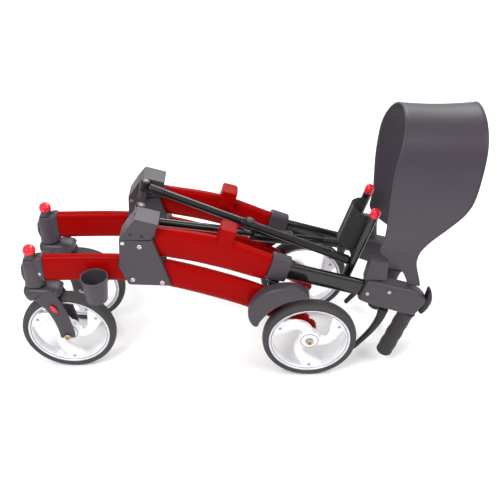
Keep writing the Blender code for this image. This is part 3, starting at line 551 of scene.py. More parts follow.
@dataclass
class Wheel:
    """Spoked wheel: grooved tyre, rim ring, S-shaped spokes, hub and bolt."""

    side: Side
    end: str
    radius: float = 0.100
    tyre_half: float = 0.015
    rim_outer: float = 0.0870
    rim_inner: float = 0.0785
    bore: float = 0.0048
    mark_radius: float = 0.0715
    mark_face: float = 0.0088
    spokes: int = 3

    def build(self) -> None:
        """Make the wheel's pieces in place of the frame's plain tyre and rim."""
        word = f"{self.side.word}_{self.end}"
        low, high = node_box(f"{word}_tyre")
        centre = (low + high) / 2
        body = f"{word}_wheel"
        out = ACROSS * self.side.value
        self._tyre(word, centre, body)
        inner = self.rim_inner
        loop = soften([(inner, 0.0), (inner, 0.0090), (inner + 0.0015, 0.0105), (inner + 0.0040, 0.0105),
                       (inner + 0.0045, 0.0126), (self.rim_outer, 0.0118), (self.rim_outer, -0.0118),
                       (inner + 0.0045, -0.0126), (inner + 0.0040, -0.0105), (inner + 0.0015, -0.0105),
                       (inner, -0.0090), (inner, -0.0001)], 0.0008)
        ring = revolve(f"{word}_rim_ring", loop, centre, ACROSS, 96, ring=True)
        RIM.mount(ring, body, f"{word}_rim")
        for k in range(self.spokes):
            self._spoke(word, k, centre, body)
        hub = soften([(self.bore, -0.0130), (0.0150, -0.0130), (0.0225, -0.0085), (0.0225, 0.0085),
                      (0.0150, 0.0130), (self.bore, 0.0130)], 0.002)
        loop = np.vstack([hub, [[self.bore, 0.0]]])
        boss = revolve(f"{word}_hub", loop, centre, ACROSS, 48, ring=True)
        RIM.mount(boss, body)
        # Raised grey rings at the hub and just inside the rim lip; the rim one is a painted shadow line.
        for radius, face in ((0.0182, 0.0110), (inner + 0.0028, 0.0103)):
            self._line(word, radius, face, centre, body)
        seat = centre + out * (0.0275 if self.end == "front" else 0.0155)
        Screw(0.0070, 0.0040).make(f"{word}_wheel_bolt", seat, out,
                                   f"{self.side.word}_{'caster' if self.end == 'front' else 'side'}", BRASS)

    def _tyre(self, word: str, centre: np.ndarray, body: str) -> None:
        """Tyre: a superellipse section whose crown dips in three fine grooves."""
        t = np.linspace(-math.pi / 2, math.pi / 2, 41)
        h = self.tyre_half * np.sign(np.sin(t)) * np.abs(np.sin(t)) ** 0.8
        height = 0.0122
        crown = height * np.abs(np.cos(t)) ** 0.6
        groove = 0.0011 * sum(np.exp(-(((h - g) / 0.0009) ** 2)) for g in (-0.0055, 0.0, 0.0055))
        r = self.radius - height + crown - groove
        bead = self.rim_outer + 0.0004
        profile = np.stack([np.maximum(r, bead), h], 1)
        profile = np.vstack([profile, [[bead, self.tyre_half * 0.7], [bead, -self.tyre_half * 0.7]]])
        tyre = revolve(f"{word}_tyre_tread", profile, centre, ACROSS, 128, ring=True)
        RUBBER.mount(tyre, body, f"{word}_tyre")

    def _spoke(self, word: str, k: int, centre: np.ndarray, body: str) -> None:
        """Spoke: its angle swings as it leaves the hub and back at the ring, where it fans out."""
        s = np.linspace(0, 1, 30)
        root = 0.012
        r = root + (self.rim_inner + 0.0030 - root) * s
        swing = 0.95 * (s - 0.12 * np.sin(2 * math.pi * s))
        turn = 2 * math.pi * k / self.spokes + math.radians(100) + swing
        path = centre + np.stack([r * np.cos(turn), 0 * r, r * np.sin(turn)], 1)
        width = 0.0085 + 0.0045 * (1 - s) ** 3 + 0.0200 * s**3.4
        thick = 0.0078 + 0.0022 * (2 * s - 1) ** 2
        spoke = loft(f"{word}_spoke_{k + 1}", path, width, thick, 4.0, 0.0012, 40)
        RIM.mount(spoke, body)
        for sign in (-1.0, 1.0):
            name = f"{word}_mark_{k + 1}_{'in' if sign < 0 else 'out'}"
            self._mark(name, turn[-4] - 0.02, sign, centre, body)

    def _mark(self, name: str, turn: float, sign: float, centre: np.ndarray, body: str) -> None:
        """Small three-sided inlay near the end of a spoke."""
        radial = np.array([math.cos(turn), 0.0, math.sin(turn)])
        at = centre + radial * self.mark_radius + ACROSS * sign * self.mark_face
        corners = [(0.0001, 0.0), (0.0042, 0.0), (0.0042, 0.0014), (0.0001, 0.0014)]
        mark = crease(turned(name, corners, 0.0002, at, ACROSS * sign, 3), 30)
        MARK_AND_SHADOW_GREY.mount(mark, body)

    def _line(self, word: str, radius: float, face: float, centre: np.ndarray, body: str) -> None:
        """Thin raised grey ring on both faces of the rim; the one just inside the rim lip is a painted shadow
        line for the shade under that lip.
        """
        for sign in (-1.0, 1.0):
            t = np.linspace(0, 2 * math.pi, 12, endpoint=False)
            profile = np.stack([radius + 0.0011 * np.cos(t), sign * face + 0.0006 * np.sin(t)], 1)
            name = f"{word}_line_{round(radius * 1000)}_{'in' if sign < 0 else 'out'}"
            ring = revolve(name, profile, centre, ACROSS, 72, ring=True)
            MARK_AND_SHADOW_GREY.mount(ring, body)


@dataclass
class LowerFrame:
    """Lower side frame: curved rail, hinge bracket, caster housing, fender, button and screws."""

    side: Side
    plane: float = SIDE_PLANE
    half_width: float = 0.0120
    half_height: float = 0.0310
    tip_height: float = 0.0180
    button_seat: float = 0.2945
    fender_plane: float = 0.1075
    fender_radius: float = 0.1165
    spine: tuple = ((-0.4025, 0.2685), (-0.239, 0.2685), (-0.135, 0.2515), (0.018, 0.198), (0.098, 0.150),
                    (0.140, 0.118))

    @property
    def body(self) -> str:
        """Body that this frame's pieces ride on."""
        return f"{self.side.word}_side"

    def build(self) -> None:
        """Make every piece of the lower frame."""
        y = self.side.value * self.plane
        out = ACROSS * self.side.value
        self._rail(y)
        self._housing(y, out)
        self._fender(out)
        self._button(y)
        face = self.plane + CHEEK_FACE
        for k, (x, z) in enumerate(((-0.1930, 0.335), (-0.213, 0.253), (-0.154, 0.245))):
            Screw(0.0052, 0.0022).make(f"{self.side.word}_bracket_screw_{k + 1}",
                                       np.array([x, self.side.value * face, z]), out, self.body)
        GREY.dress(bpy.data.objects[f"{self.side.word}_hinge_bracket"])
        for name in ("hinge_pin", "rear_axle"):
            STEEL.dress(bpy.data.objects[f"{self.side.word}_{name}"])

    def _rail(self, y: float) -> None:
        """Rail: a flat oval carried along a smooth curve, its height easing down toward the axle."""
        flat = spline(np.array(self.spine), 90)
        path = np.stack([flat[:, 0], np.full(90, y), flat[:, 1]], 1)
        t = np.clip((np.linspace(0, 1, 90) - 0.72) / 0.28, 0, 1)
        height = self.half_height + (self.tip_height - self.half_height) * t * t * (3 - 2 * t)
        rail = loft(f"{self.side.word}_rail_tube", path, height, self.half_width, 3.0, 0.003, 64)
        RED.mount(rail, self.body, f"{self.side.word}_lower_rail")
        corners = [(0.0046, -0.0118), (0.0175, -0.0118), (0.0175, 0.0118), (0.0046, 0.0118)]
        lug = turned(f"{self.side.word}_axle_boss", corners, 0.0012, REAR_AXLE + y * ACROSS, ACROSS)
        RED.mount(lug, self.body)

    def _housing(self, y: float, out: np.ndarray) -> None:
        """Caster housing: a waisted barrel, a saddle on the rail, and a raised plate with its screw."""
        word = self.side.word
        z = np.array([0.2292, 0.2325, 0.240, 0.252, 0.266, 0.280, 0.288, 0.2935])
        r = np.array([0.0195, 0.0208, 0.0200, 0.0188, 0.0192, 0.0185, 0.0165, 0.0140])
        path = np.stack([np.full(8, STEM_X), np.full(8, y), z], 1)
        round_by = np.interp(np.linspace(0, 7, 30), np.arange(8), r)
        barrel = loft(f"{word}_housing_barrel", spline(path, 30), round_by, round_by, 2.6, 0.0015, 48)
        GREY.mount(barrel, self.body, f"{self.side.word}_caster_housing")
        x = np.array([-0.412, -0.406, -0.400, -0.3955, -0.3925])
        z = np.array([0.264, 0.266, 0.2675, 0.2680, 0.2680])
        saddle = loft(f"{word}_housing_saddle", np.stack([x, np.full(5, y), z], 1),
                      np.array([0.026, 0.029, 0.0325, 0.0330, 0.0325]),
                      np.array([0.0145, 0.0150, 0.0150, 0.0148, 0.0142]), 4.0, 0.002, 48)
        GREY.mount(saddle, self.body)
        line = np.array([[-0.4340, y, 0.240], [-0.4365, y, 0.258], [-0.4345, y, 0.276]])
        plate = loft(f"{word}_housing_plate", line, 0.0045, 0.0105, 3.0, 0.003, 32)
        GREY.mount(plate, self.body)
        corners = [(0.0005, 0.2268), (0.0175, 0.2268), (0.0175, 0.2290), (0.0005, 0.2290)]
        ring = turned(f"{word}_swivel_ring", corners, 0.0006, np.array([STEM_X, y, 0.0]), UP)
        BLACK.mount(ring, self.body)
        Screw(0.0036, 0.0016).make(f"{word}_housing_screw", np.array([-0.4010, y, 0.262]) + out * 0.0150, out,
                                   self.body)

    def _button(self, y: float) -> None:
        """Swivel-lock button: a grey neck under a red domed top."""
        word = self.side.word
        seat = np.array([STEM_X, y, self.button_seat])
        corners = [(0.0001, 0.0002), (0.0125, 0.0002), (0.0115, 0.0060), (0.0108, 0.0120), (0.0001, 0.0124)]
        neck = turned(f"{word}_button_neck", corners, 0.001, seat, UP)
        GREY.mount(neck, f"{word}_swivel_button")
        profile = soften([(0.0001, 0.0118), (0.0122, 0.0118), (0.0130, 0.0150), (0.0126, 0.0205),
                          (0.0098, 0.0256), (0.0055, 0.0275), (0.0001, 0.0280)], 0.002, 5)
        button = revolve(f"{word}_lock_button", profile, seat, UP, 48)
        BUTTON.mount(button, f"{word}_swivel_button", f"{word}_caster_cap")

    def _fender(self, out: np.ndarray) -> None:
        """Fender: a leaf-shaped shell over the wheel's front top, thin at its tips, with its stud."""
        y = self.side.value * self.fender_plane
        angle = np.radians(np.linspace(158, 93, 36))
        t = np.linspace(0, 1, 36)
        thick = 0.0035 + 0.0205 * np.sin(math.pi * t**0.85) ** 0.75
        radius = self.fender_radius + thick
        path = REAR_AXLE + np.stack([radius * np.cos(angle), np.full(36, y), radius * np.sin(angle)], 1)
        shell = loft(f"{self.side.word}_fender_shell", path, thick, 0.0155, 4.0, 0.003, 48)
        GREY.mount(shell, self.body, f"{self.side.word}_fender")
        corners = [(0.0001, 0.0), (0.008, 0.0), (0.008, 0.020), (0.0001, 0.020)]
        seat = np.array([0.036, self.side.value * 0.0885, 0.186])
        stud = turned(f"{self.side.word}_fender_stud", corners, 0.001, seat, out, 32)
        BLACK.mount(stud, self.body)


@dataclass
class Caster:
    """Swivelling fork with two tapering arms, crown and reflector."""

    side: Side
    arm_offset: float = 0.0216
    arm_half: float = 0.0024
    reflector_lean: float = math.radians(62)

    def build(self) -> None:
        """Make the fork in place of the frame's plain one."""
        word, sign = self.side.word, self.side.value
        body = f"{word}_caster"
        y = sign * SIDE_PLANE
        crown_path = spline(np.array([[STEM_X - 0.024, y, 0.2020], [STEM_X - 0.004, y, 0.2080],
                                      [STEM_X + 0.026, y, 0.2120], [STEM_X + 0.052, y, 0.2110]]), 30)
        swell = np.interp(np.linspace(0, 1, 30), [0, 0.3, 0.65, 1], [0.0180, 0.0175, 0.0125, 0.0080])
        wide = np.linspace(0.0190, 0.0236, 30)
        crown = loft(f"{word}_fork_crown", crown_path, swell, wide, 2.7, 0.010, 56)
        GREY.mount(crown, body, f"{word}_caster_fork")
        points = np.array([[STEM_X + 0.014, 0.214], [STEM_X + 0.030, 0.190], [STEM_X + 0.043, 0.155],
                           [STEM_X + 0.050, 0.120], [-0.365, 0.094]])
        flat = spline(points, 30)
        s = np.linspace(0, 1, 30)
        height = 0.0245 - 0.0085 * s - 0.0030 * np.sin(math.pi * s)
        for inner, face in (("outer", 1.0), ("inner", -1.0)):
            offset = y + sign * face * self.arm_offset
            line = np.stack([flat[:, 0], np.full(30, offset), flat[:, 1]], 1)
            arm = loft(f"{word}_fork_arm_{inner}", line, height, self.arm_half, 4.0, 0.008, 40)
            GREY.mount(arm, body)
        low, high = node_box(f"{word}_reflector")
        middle = (low + high) / 2
        corners = [(0.0001, -0.0004), (0.0058, -0.0004), (0.0058, 0.0008), (0.0001, 0.0008)]
        bezel = self._oval(f"{word}_reflector_bezel", middle, soften(corners, 0.0004), 2.05)
        BLACK.mount(bezel, body)
        bend = np.linspace(0, math.pi / 2, 8)
        dome = np.stack([np.maximum(0.0048 * np.cos(bend), 0.0001), 0.0008 + 0.0014 * np.sin(bend)], 1)
        lens = self._oval(f"{word}_reflector_lens", middle, dome, 2.3)
        BUTTON.mount(lens, body, f"{word}_reflector")
        STEEL.dress(bpy.data.objects[f"{word}_front_axle"])

    def _oval(self, name: str, middle: np.ndarray, profile: np.ndarray, stretch: float) -> bpy.types.Object:
        """Turned form on the fork's outer face, stretched along the arm into an oval.

        Args:
            name: Object name.
            middle: Centre of the seat.
            profile: Rows of (radius, height).
            stretch: Length over width.

        Returns:
            The new object.
        """
        theta = np.linspace(0, 2 * math.pi, 40, endpoint=False)
        lean = self.reflector_lean
        long_way = np.array([math.cos(lean), 0.0, -math.sin(lean)])
        short_way = np.array([math.sin(lean), 0.0, math.cos(lean)])
        out = ACROSS * self.side.value
        turn = (stretch * np.cos(theta))[:, None] * long_way + np.sin(theta)[:, None] * short_way
        grid = middle + profile[:, None, 0:1] * turn[None] + profile[:, None, 1:2] * out
        return GridMesh.make(name, grid, around=True, capped=True)


@dataclass
class Upright:
    """Oval upright with its lug, hinge foot, collar, knob and the telescoping handle."""

    side: Side

    @property
    def y(self) -> float:
        """Plane of this side."""
        return self.side.value * SIDE_PLANE

    def build(self) -> None:
        """Make every piece of the upright and its handle."""
        word = self.side.word
        body = f"{word}_upright_frame"
        u = np.linspace(0.0243, 0.2615, 50)
        rise = 0.0085 + 0.0085 * np.sin(math.pi * np.clip((u - 0.024) / 0.24, 0, 1)) ** 1.5
        height = np.interp(u, [0.024, 0.15, 0.262], [0.0325, 0.0350, 0.0305])
        centre = folded_path(list(zip(u, rise)), self.y)
        tube = loft(f"{word}_upright_tube", centre, height, 0.0120, 3.0, 0.0015, 64)
        RED.mount(tube, body, f"{word}_upright")
        lug_y = self.side.value * (SIDE_PLANE - 0.007)
        line = folded_path([(0.1605, f) for f in (0.040, 0.055, 0.0778)], lug_y)
        lug = loft(f"{word}_lug", line, np.array([0.0180, 0.0172, 0.0163]), 0.0186, 6.0, 0.0015, 48)
        RED.mount(lug, body)
        GREY.dress(bpy.data.objects[f"{word}_upright_foot"])
        self._post_sleeve(body)
        self._dimples(body)
        line = folded_path([(a, 0.0135) for a in np.linspace(0.2626, 0.3030, 12)], self.y)
        collar = loft(f"{word}_collar_shell", line, np.linspace(0.0315, 0.0285, 12),
                      np.linspace(0.0158, 0.0145, 12), 3.4, 0.003, 56)
        GREY.mount(collar, body, f"{word}_collar")
        self._knob()
        self._handle()

    def _post_sleeve(self, body: str) -> None:
        """Black bush over the brace post, with a screw on its top."""
        word = self.side.word
        at = folded(BRACE_LOW, 0.0, self.side.value * BRACE_PLANE)
        corners = [(0.0001, 0.0385), (0.0104, 0.0385), (0.0104, 0.0610), (0.0085, 0.0628), (0.0001, 0.0630)]
        bush = turned(f"{word}_post_bush", corners, 0.0008, at, SQUARE, 40)
        BLACK.mount(bush, body)
        Screw(0.0046, 0.0020).make(f"{word}_post_screw", at + SQUARE * 0.0630, SQUARE, body)

    def _dimples(self, body: str) -> None:
        """Two small round bosses on the foot's head."""
        out = ACROSS * self.side.value
        corners = [(0.0001, -0.0002), (0.0034, -0.0002), (0.0034, 0.0006), (0.0001, 0.0003)]
        for k, (x, z) in enumerate(((-0.2080, 0.3640), (-0.1860, 0.3600))):
            seat = np.array([x, self.side.value * (SIDE_PLANE + CHEEK_FACE), z])
            ring = turned(f"{self.side.word}_head_dimple_{k + 1}", corners, 0.0003, seat, out, 24)
            BLACK.mount(ring, body)

    def _knob(self) -> None:
        """Height knob: a turned cap whose rim swells in eight soft lobes."""
        start = folded(0.2828, -0.0178, self.y)
        axis = -SQUARE
        theta = np.linspace(0, 2 * math.pi, 96, endpoint=False)
        rows = soften([(0.0005, 0.0), (0.0115, 0.0), (0.0120, 0.0035), (0.0125, 0.0120), (0.0105, 0.0145),
                       (0.0005, 0.0146)], 0.0015)
        lobes = 1 + 0.05 * np.cos(8 * theta)
        e2 = np.cross(axis, ACROSS)
        circle = np.cos(theta)[:, None] * ACROSS + np.sin(theta)[:, None] * e2
        grid = start + rows[:, None, 0:1] * lobes[None, :, None] * circle[None] + rows[:, None, 1:2] * axis
        knob = GridMesh.make(f"{self.side.word}_knob_cap", grid, around=True, capped=True)
        BLACK.mount(knob, f"{self.side.word}_knob", f"{self.side.word}_height_knob")

    def _handle(self) -> None:
        """Handle tube, block, clamp, grip, thumb hook and brake lever."""
        word, y, sign = self.side.word, self.y, self.side.value
        body = f"{word}_handle"
        along = np.linspace(0.130, 0.4626, 40)
        line = folded_path([(a, 0.0115) for a in along], y)
        tube = loft(f"{word}_inner_tube", line, 0.0193, 0.0085, 3.0, 0.001, 56)
        TUBE.mount(tube, body, f"{word}_handle_tube")
        a = np.linspace(0.4632, 0.5960, 40)
        mid = np.interp(a, [0.463, 0.51, 0.56, 0.596], [0.0150, 0.0128, 0.0115, 0.0040])
        half = np.interp(a, [0.463, 0.48, 0.51, 0.565, 0.580, 0.596],
                         [0.0262, 0.0290, 0.0305, 0.0322, 0.0300, 0.0235])
        wide = np.interp(a, [0.463, 0.475, 0.54, 0.596], [0.0170, 0.0188, 0.0190, 0.0180])
        block = loft(f"{word}_block_shell", folded_path(list(zip(a, mid)), y), half, wide, 5.0, 0.004, 64)
        GREY.mount(block, body, f"{word}_handle_block")
        for k, (p, q) in enumerate(((0.474, 0.012), (0.516, 0.028))):
            Screw(0.0040, 0.0018).make(f"{word}_block_screw_{k + 1}", folded(p, q, y + sign * BLOCK_FACE),
                                       ACROSS * sign, body)
        line = folded_path([(0.4800, 0.0445), (0.4760, 0.060), (0.4720, 0.076), (0.4705, 0.0915)], y)
        clamp = loft(f"{word}_clamp_shell", line, np.array([0.0245, 0.0225, 0.0205, 0.0185]), 0.0118, 4.5,
                     0.003, 48)
        GREY.mount(clamp, body, f"{word}_band_clamp")
        self._grip(body)
        line = folded_path([(0.6060, -0.0150), (0.6085, 0.006), (0.6075, 0.026), (0.6005, 0.0480)], y)
        swell = 0.0020 + 0.0075 * np.sin(math.pi * (0.15 + 0.80 * np.linspace(0, 1, 24)))
        hook = loft(f"{word}_hook_shell", spline(line, 24), swell, 0.0105, 2.6, 0.004, 40)
        BLACK.mount(hook, body, f"{word}_thumb_hook")
        line = folded_path([(0.5300, -0.0300), (0.5320, -0.060), (0.5260, -0.100), (0.5080, -0.1550)], y)
        s = np.linspace(0, 1, 40)
        lever = loft(f"{word}_lever_blade", spline(line, 40), 0.0122 - 0.0075 * s**0.7, 0.0064 - 0.0012 * s,
                     2.6, 0.003, 40)
        BLACK.mount(lever, f"{word}_lever", f"{word}_brake_lever")

    def _grip(self, body: str) -> None:
        """Grip: a form oval in section, with four shallow finger waves and fine ribs on its back."""
        word = self.side.word
        s = np.linspace(0, 1, 90)
        length = 0.1270
        start = folded(0.580, -0.0224, self.y)
        lean = TILT + 0.02
        axis = -np.array([math.sin(lean), 0.0, math.cos(lean)])
        side = np.array([math.cos(lean), 0.0, -math.sin(lean)])
        wave = 0.0007 * np.cos(2 * math.pi * 4 * s) * np.sin(math.pi * s)
        body_radius = 0.0168 + wave + 0.0024 * np.exp(-((s / 0.035) ** 2)) + 0.0008 * s
        shrink = np.sqrt(np.clip(1 - ((s - 0.93) / 0.07).clip(0, 1) ** 2, 0.0004, 1))
        theta = np.linspace(0, 2 * math.pi, 72, endpoint=False)
        ribs = 0.0003 * np.cos(2 * math.pi * 34 * s)[:, None] * np.clip(np.cos(theta), 0, 1)[None] ** 2
        radius = body_radius[:, None] * shrink[:, None] + ribs * shrink[:, None]
        grid = (start + (length * s)[:, None, None] * axis + (radius * np.cos(theta))[..., None] * side
                + (radius * 0.94 * np.sin(theta))[..., None] * ACROSS)
        grip = GridMesh.make(f"{word}_grip_sleeve", grid, around=True, capped=True)
        GRIP.mount(grip, body, f"{word}_grip")


@dataclass
class Brace:
    """Cross bars with their pivots and end sleeves, and the seat rails with red caps."""

    low: float = BRACE_LOW
    high: float = BRACE_HIGH
    inset: float = BRACE_PLANE
    bar_radius: float = 0.0084
    ring_radius: float = 0.0091
    sleeve_radius: float = 0.0092
    lock_f: float = 0.0248
    lock_span: tuple = (0.242, 0.332)

    def build(self) -> None:
        """Make the bars, sleeves, pivot and seat rails."""
        self._lock_tube()
        bars = (("cross_bar_b", 0.0262, -1.0, "cross_b"), ("cross_bar_a", 0.0482, 1.0, "cross_a"))
        for bar, f, sign, body in bars:
            start, end = folded(self.low, f, sign * self.inset), folded(self.high, f, -sign * self.inset)
            run = (end - start) / np.linalg.norm(end - start)
            a, b = start + run * 0.0098, end - run * 0.0095
            tube = loft(f"{bar}_tube", np.linspace(a, b, 12), self.bar_radius, self.bar_radius, 2.0, 0.001, 40,
                        SQUARE)
            TUBE.mount(tube, body, bar)
            total = np.linalg.norm(b - a)
            for k, (p, q) in enumerate(((0.0, 0.034), (total - 0.040, total))):
                line = np.linspace(a + run * p, a + run * q, 6)
                sleeve = loft(f"{bar}_sleeve_{k + 1}", line, self.sleeve_radius, self.sleeve_radius, 2.4,
                              0.0015, 40, SQUARE)
                BLACK.mount(sleeve, body)
            for k, p in enumerate((0.47, 0.53)):
                line = np.linspace(a + run * (total * p - 0.004), a + run * (total * p + 0.004), 4)
                band = loft(f"{bar}_ring_{k + 1}", line, self.ring_radius, self.ring_radius, 2.0, 0.001, 40,
                            SQUARE)
                BLACK.mount(band, body)
        middle = (self.low + self.high) / 2
        corners = [(0.0001, 0.0357), (0.0108, 0.0357), (0.0108, 0.0387), (0.0001, 0.0387)]
        washer = turned("pivot_washer", corners, 0.0006, folded(middle, 0.0), SQUARE, 40)
        STEEL.mount(washer, "cross_b", "cross_pivot")
        corners = [(0.0001, 0.0550), (0.0090, 0.0550), (0.0090, 0.0590), (0.0060, 0.0612), (0.0001, 0.0615)]
        cap = turned("pivot_cap", corners, 0.001, folded(middle, 0.0), SQUARE, 40)
        GREY.mount(cap, "cross_a")
        for side in Side:
            self._seat_rail(side)

    def _lock_tube(self) -> None:
        """Lock housing beside the crossing: a thick glossy tube on bar B with a collar at each end."""
        start, end = folded(self.low, self.lock_f, -self.inset), folded(self.high, self.lock_f, self.inset)
        run = (end - start) / np.linalg.norm(end - start)
        a, b = (start + run * place for place in self.lock_span)
        body = loft("lock_tube", np.linspace(a, b, 12), 0.0165, 0.0125, 2.4, 0.004, 56, SQUARE)
        TUBE.mount(body, "cross_b")
        for k, place in enumerate((a + run * 0.003, b - run * 0.003)):
            line = np.linspace(place - run * 0.003, place + run * 0.003, 4)
            ring = loft(f"lock_collar_{k + 1}", line, 0.0172, 0.0130, 2.4, 0.001, 56, SQUARE)
            BLACK.mount(ring, "cross_b")

    def _seat_rail(self, side: Side) -> None:
        """Seat rail: round tube square to the upright, with a domed red cap on its front end."""
        y = side.value * self.inset
        body = f"{side.word}_seat_frame"
        line = folded_path([(self.high, f) for f in np.linspace(0.005, 0.164, 12)], y)
        rail = loft(f"{side.word}_seat_tube", line, self.sleeve_radius, self.sleeve_radius, 2.0, 0.001, 40)
        TUBE.mount(rail, body, f"{side.word}_seat_rail")
        profile = soften([(0.0001, 0.1643), (0.0100, 0.1643), (0.0102, 0.1710), (0.0094, 0.1780),
                          (0.0066, 0.1822), (0.0001, 0.1830)], 0.002, 5)
        cap = revolve(f"{side.word}_seat_button", profile, folded(self.high, 0.0, y), SQUARE, 48)
        BUTTON.mount(cap, body, f"{side.word}_seat_cap")


class SoftSheet:
    """Builds a thin cloth sheet from a grid of points, with a UV map in metres."""

    @staticmethod
    def make(name: str, grid: np.ndarray, thickness: float) -> tuple:
        """Make the sheet, its UV map and its wall.

        Args:
            name: Object name.
            grid: Points shaped (along, across, 3).
            thickness: Wall in metres.

        Returns:
            The object, its flat width and length, and its area.
        """
        rows, columns = grid.shape[:2]
        along = np.linalg.norm(np.diff(grid, axis=0), axis=2)
        across = np.linalg.norm(np.diff(grid, axis=1), axis=2)
        area = float((((along[:, 1:] + along[:, :-1]) / 2) * ((across[1:] + across[:-1]) / 2)).sum())
        thing = GridMesh.make(name, grid)
        v = np.concatenate([[0], np.cumsum(along.mean(1))])
        u = np.concatenate([np.zeros((rows, 1)), np.cumsum(across, axis=1)], axis=1)
        flat = np.stack([u, np.broadcast_to(v[:, None], (rows, columns))], -1).reshape(-1, 2)
        layer = thing.data.uv_layers.new(name="cloth")
        index = np.zeros(len(thing.data.loops), int)
        thing.data.loops.foreach_get("vertex_index", index)
        layer.data.foreach_set("uv", flat[index].ravel().astype(np.float32))
        wall = thing.modifiers.new("wall", "SOLIDIFY")
        wall.thickness = thickness
        wall.offset = 0.0
        smooth = thing.modifiers.new("smooth", "SUBSURF")
        smooth.levels = 1
        smooth.render_levels = 1
        return thing, float(u.max()), float(along.sum(0).max()), area


@dataclass
class BackBand:
    """Wide band that loops up from one clamp and down to the other, with a narrow tail at each end."""

    top: float = 0.5825
    half: float = 0.0985
    start_z: float = 0.2165
    plane: float = SIDE_PLANE

    def build(self) -> None:
        """Make the band as one curved sheet, with its hems."""
        half_path = [(-self.plane, self.start_z), (-self.plane, 0.290), (-self.half + 0.007, 0.370),
                     (-self.half, 0.450), (-self.half + 0.012, 0.528),
                     (-self.half + 0.047, self.top - 0.014)]
        points = half_path + [(0.0, self.top)] + [(-y, z) for y, z in half_path[::-1]]
        path = spline(np.array(points), 140)
        z = path[:, 1]
        front = np.interp(z, [0.210, 0.225, 0.262, 0.282, 0.296, 0.345, 0.430, 0.505, 0.583],
                          [0.355, 0.350, 0.334, 0.310, 0.279, 0.289, 0.287, 0.290, 0.312])
        rear = np.interp(z, [0.210, 0.262, 0.288, 0.327, 0.360, 0.389, 0.416, 0.450, 0.553, 0.583],
                         [0.377, 0.361, 0.356, 0.370, 0.395, 0.420, 0.438, 0.445, 0.455, 0.456])
        soft = np.ones(7) / 7
        front = np.convolve(np.pad(front, 3, mode="edge"), soft, mode="valid")
        rear = np.convolve(np.pad(rear, 3, mode="edge"), soft, mode="valid")
        t = np.linspace(0, 1, 30)
        x = front[:, None] + (rear - front)[:, None] * t[None]
        bulge = 0.0035 * np.sin(math.pi * t)[None] * np.sin(math.pi * np.linspace(0, 1, 140))[:, None]
        normal = np.gradient(path, axis=0)
        normal = np.stack([-normal[:, 1], normal[:, 0]], 1)
        normal /= np.linalg.norm(normal, axis=1)[:, None]
        wide = np.abs(path[:, 0]) > self.plane + 0.002
        bulge = bulge * np.maximum(wide, z > 0.5)[:, None]
        grid = np.stack([x, path[:, :1] - normal[:, :1] * bulge, path[:, 1:] - normal[:, 1:] * bulge], -1)
        sheet, width, length, area = SoftSheet.make("band_sheet", grid, 0.0024)
        BAND.dress(sheet)
        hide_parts("back_band")
        hems = [self._hem(name, grid, column) for name, column in (("front", 0), ("rear", -1))]
        for piece in [sheet, *hems]:
            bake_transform(piece)

    @staticmethod
    def _hem(name: str, grid: np.ndarray, column: int) -> bpy.types.Object:
        """Bound edge: a flat oval cord carried along the sheet's edge."""
        edge = grid[:, column]
        hem = loft(f"band_hem_{name}", edge, 0.0019, 0.0019, 2.0, 0.001, 12, np.array([1.0, 0.0, 0.0]))
        BAND.dress(hem)
        return hem


@dataclass
class SeatSling:
    """Seat sling folded into a soft loop between the seat rails."""

    high: float = BRACE_HIGH
    low_f: float = 0.066
    top_f: float = 0.156

    def build(self) -> None:
        """Make the sling as one sheet that hangs from rail to rail, with shallow even folds."""
        half = [(self.high - 0.002, 0.0340), (self.high - 0.016, 0.0320), (self.high - 0.032, 0.0200)]
        points = np.array([(u, -y) for u, y in half] + [(self.high - 0.037, 0.0)] + half[::-1])
        path = spline(points, 80)
        f = np.linspace(self.low_f, self.top_f, 30)
        s = np.linspace(0, 1, 80)
        fold = 0.0022 * np.sin(5 * math.pi * s) ** 2
        grid = (REFERENCE + (path[:, 0] + fold)[:, None, None] * DOWN_SLOPE
                + path[:, 1][:, None, None] * ACROSS + f[None, :, None] * SQUARE)
        sheet, width, length, area = SoftSheet.make("seat_sling_cloth", grid, 0.0018)
        SLING.dress(sheet)
        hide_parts("seat_sling")
        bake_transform(sheet)


@dataclass
class CaneCup:
    """Open cup on the left rail, with a rolled lip."""

    def build(self) -> None:
        """Make the cup as one turned wall."""
        low, high = node_box("cane_cup")
        centre = (low + high) / 2
        base = np.array([centre[0], centre[1], low[2]])
        loop = [(0.0005, 0.0), (0.0215, 0.0), (0.0270, 0.0540), (0.0279, 0.0555), (0.0279, 0.0578),
                (0.0252, 0.0578), (0.0246, 0.0550), (0.0198, 0.0022), (0.0005, 0.0022)]
        cup = turned("cup_shell", loop, 0.001, base, UP, 64)
        GREY.mount(cup, "left_side", "cane_cup")


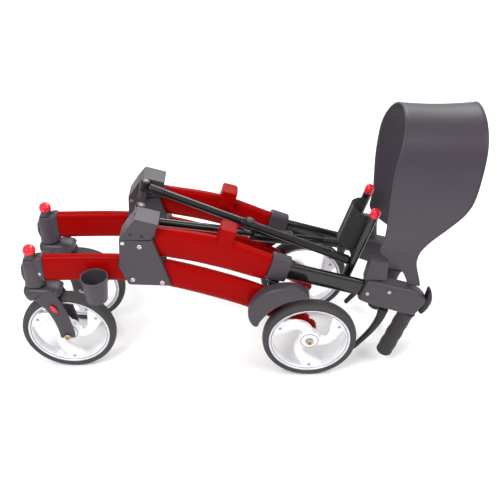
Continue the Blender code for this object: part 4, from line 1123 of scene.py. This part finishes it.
@dataclass
class Studio:
    """Pale floor, soft lights and the camera."""

    focal: float = 54.72
    azimuth: float = math.radians(-0.283)
    elevation: float = math.radians(36.85)

    def build(self) -> None:
        """Set the stage."""
        y, x = np.meshgrid(np.linspace(-6, 6, 3), np.linspace(-6, 6, 3), indexing="ij")
        floor = GridMesh.make("floor", np.stack([x, y, np.full_like(x, -0.0005)], -1))
        pale = Finish("floor_pale", (0.93, 0.93, 0.93), (0.92, 0.92, 0.92), 0.9, depth=0.00001)
        floor.data.materials.append(pale.build())
        bpy.context.scene.view_settings.view_transform = "Standard"
        world = bpy.data.worlds.new("studio")
        bpy.context.scene.world = world
        world.use_nodes = True
        sky = world.node_tree.nodes["Background"]
        sky.inputs["Color"].default_value = (1, 1, 1, 1)
        sky.inputs["Strength"].default_value = 0.62
        lamps = (("key", (-1.2, -1.6, 2.4), 1.2, 62), ("fill", (1.8, -0.8, 1.8), 1.4, 26),
                 ("back", (0.2, 2.0, 2.2), 1.6, 52))
        for name, place, size, power in lamps:
            light = bpy.data.lights.new(name, "AREA")
            light.size = size
            light.energy = power
            lamp = bpy.data.objects.new(name, light)
            lamp.location = place
            aim = -np.array(place) + np.array([0, 0, 0.25])
            lamp.rotation_euler = Vector(aim).to_track_quat("-Z", "Y").to_euler()
            bpy.context.scene.collection.objects.link(lamp)
        lens = bpy.data.cameras.new("camera")
        lens.lens = self.focal
        lens.sensor_width = 36.0
        lens.clip_start = 0.02
        camera = bpy.data.objects.new("camera", lens)
        camera.location = (0.0173, -1.2891 + FOOTPRINT_SHIFT, 1.2194)
        camera.rotation_euler = (math.pi / 2 - self.elevation, 0.0, self.azimuth)
        bpy.context.scene.collection.objects.link(camera)
        bpy.context.scene.camera = camera


def main() -> None:
    """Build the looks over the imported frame."""
    logging.basicConfig(level=logging.INFO)
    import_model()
    parts = [Studio(), Brace(), BackBand(), SeatSling(), CaneCup()]
    for side in Side:
        parts += [LowerFrame(side), Caster(side), Upright(side), Wheel(side, "front"), Wheel(side, "rear")]
    for part in parts:
        part.build()
        LOG.info("built %s", part)
    bpy.context.view_layer.update()


if __name__ == "__main__":
    main()
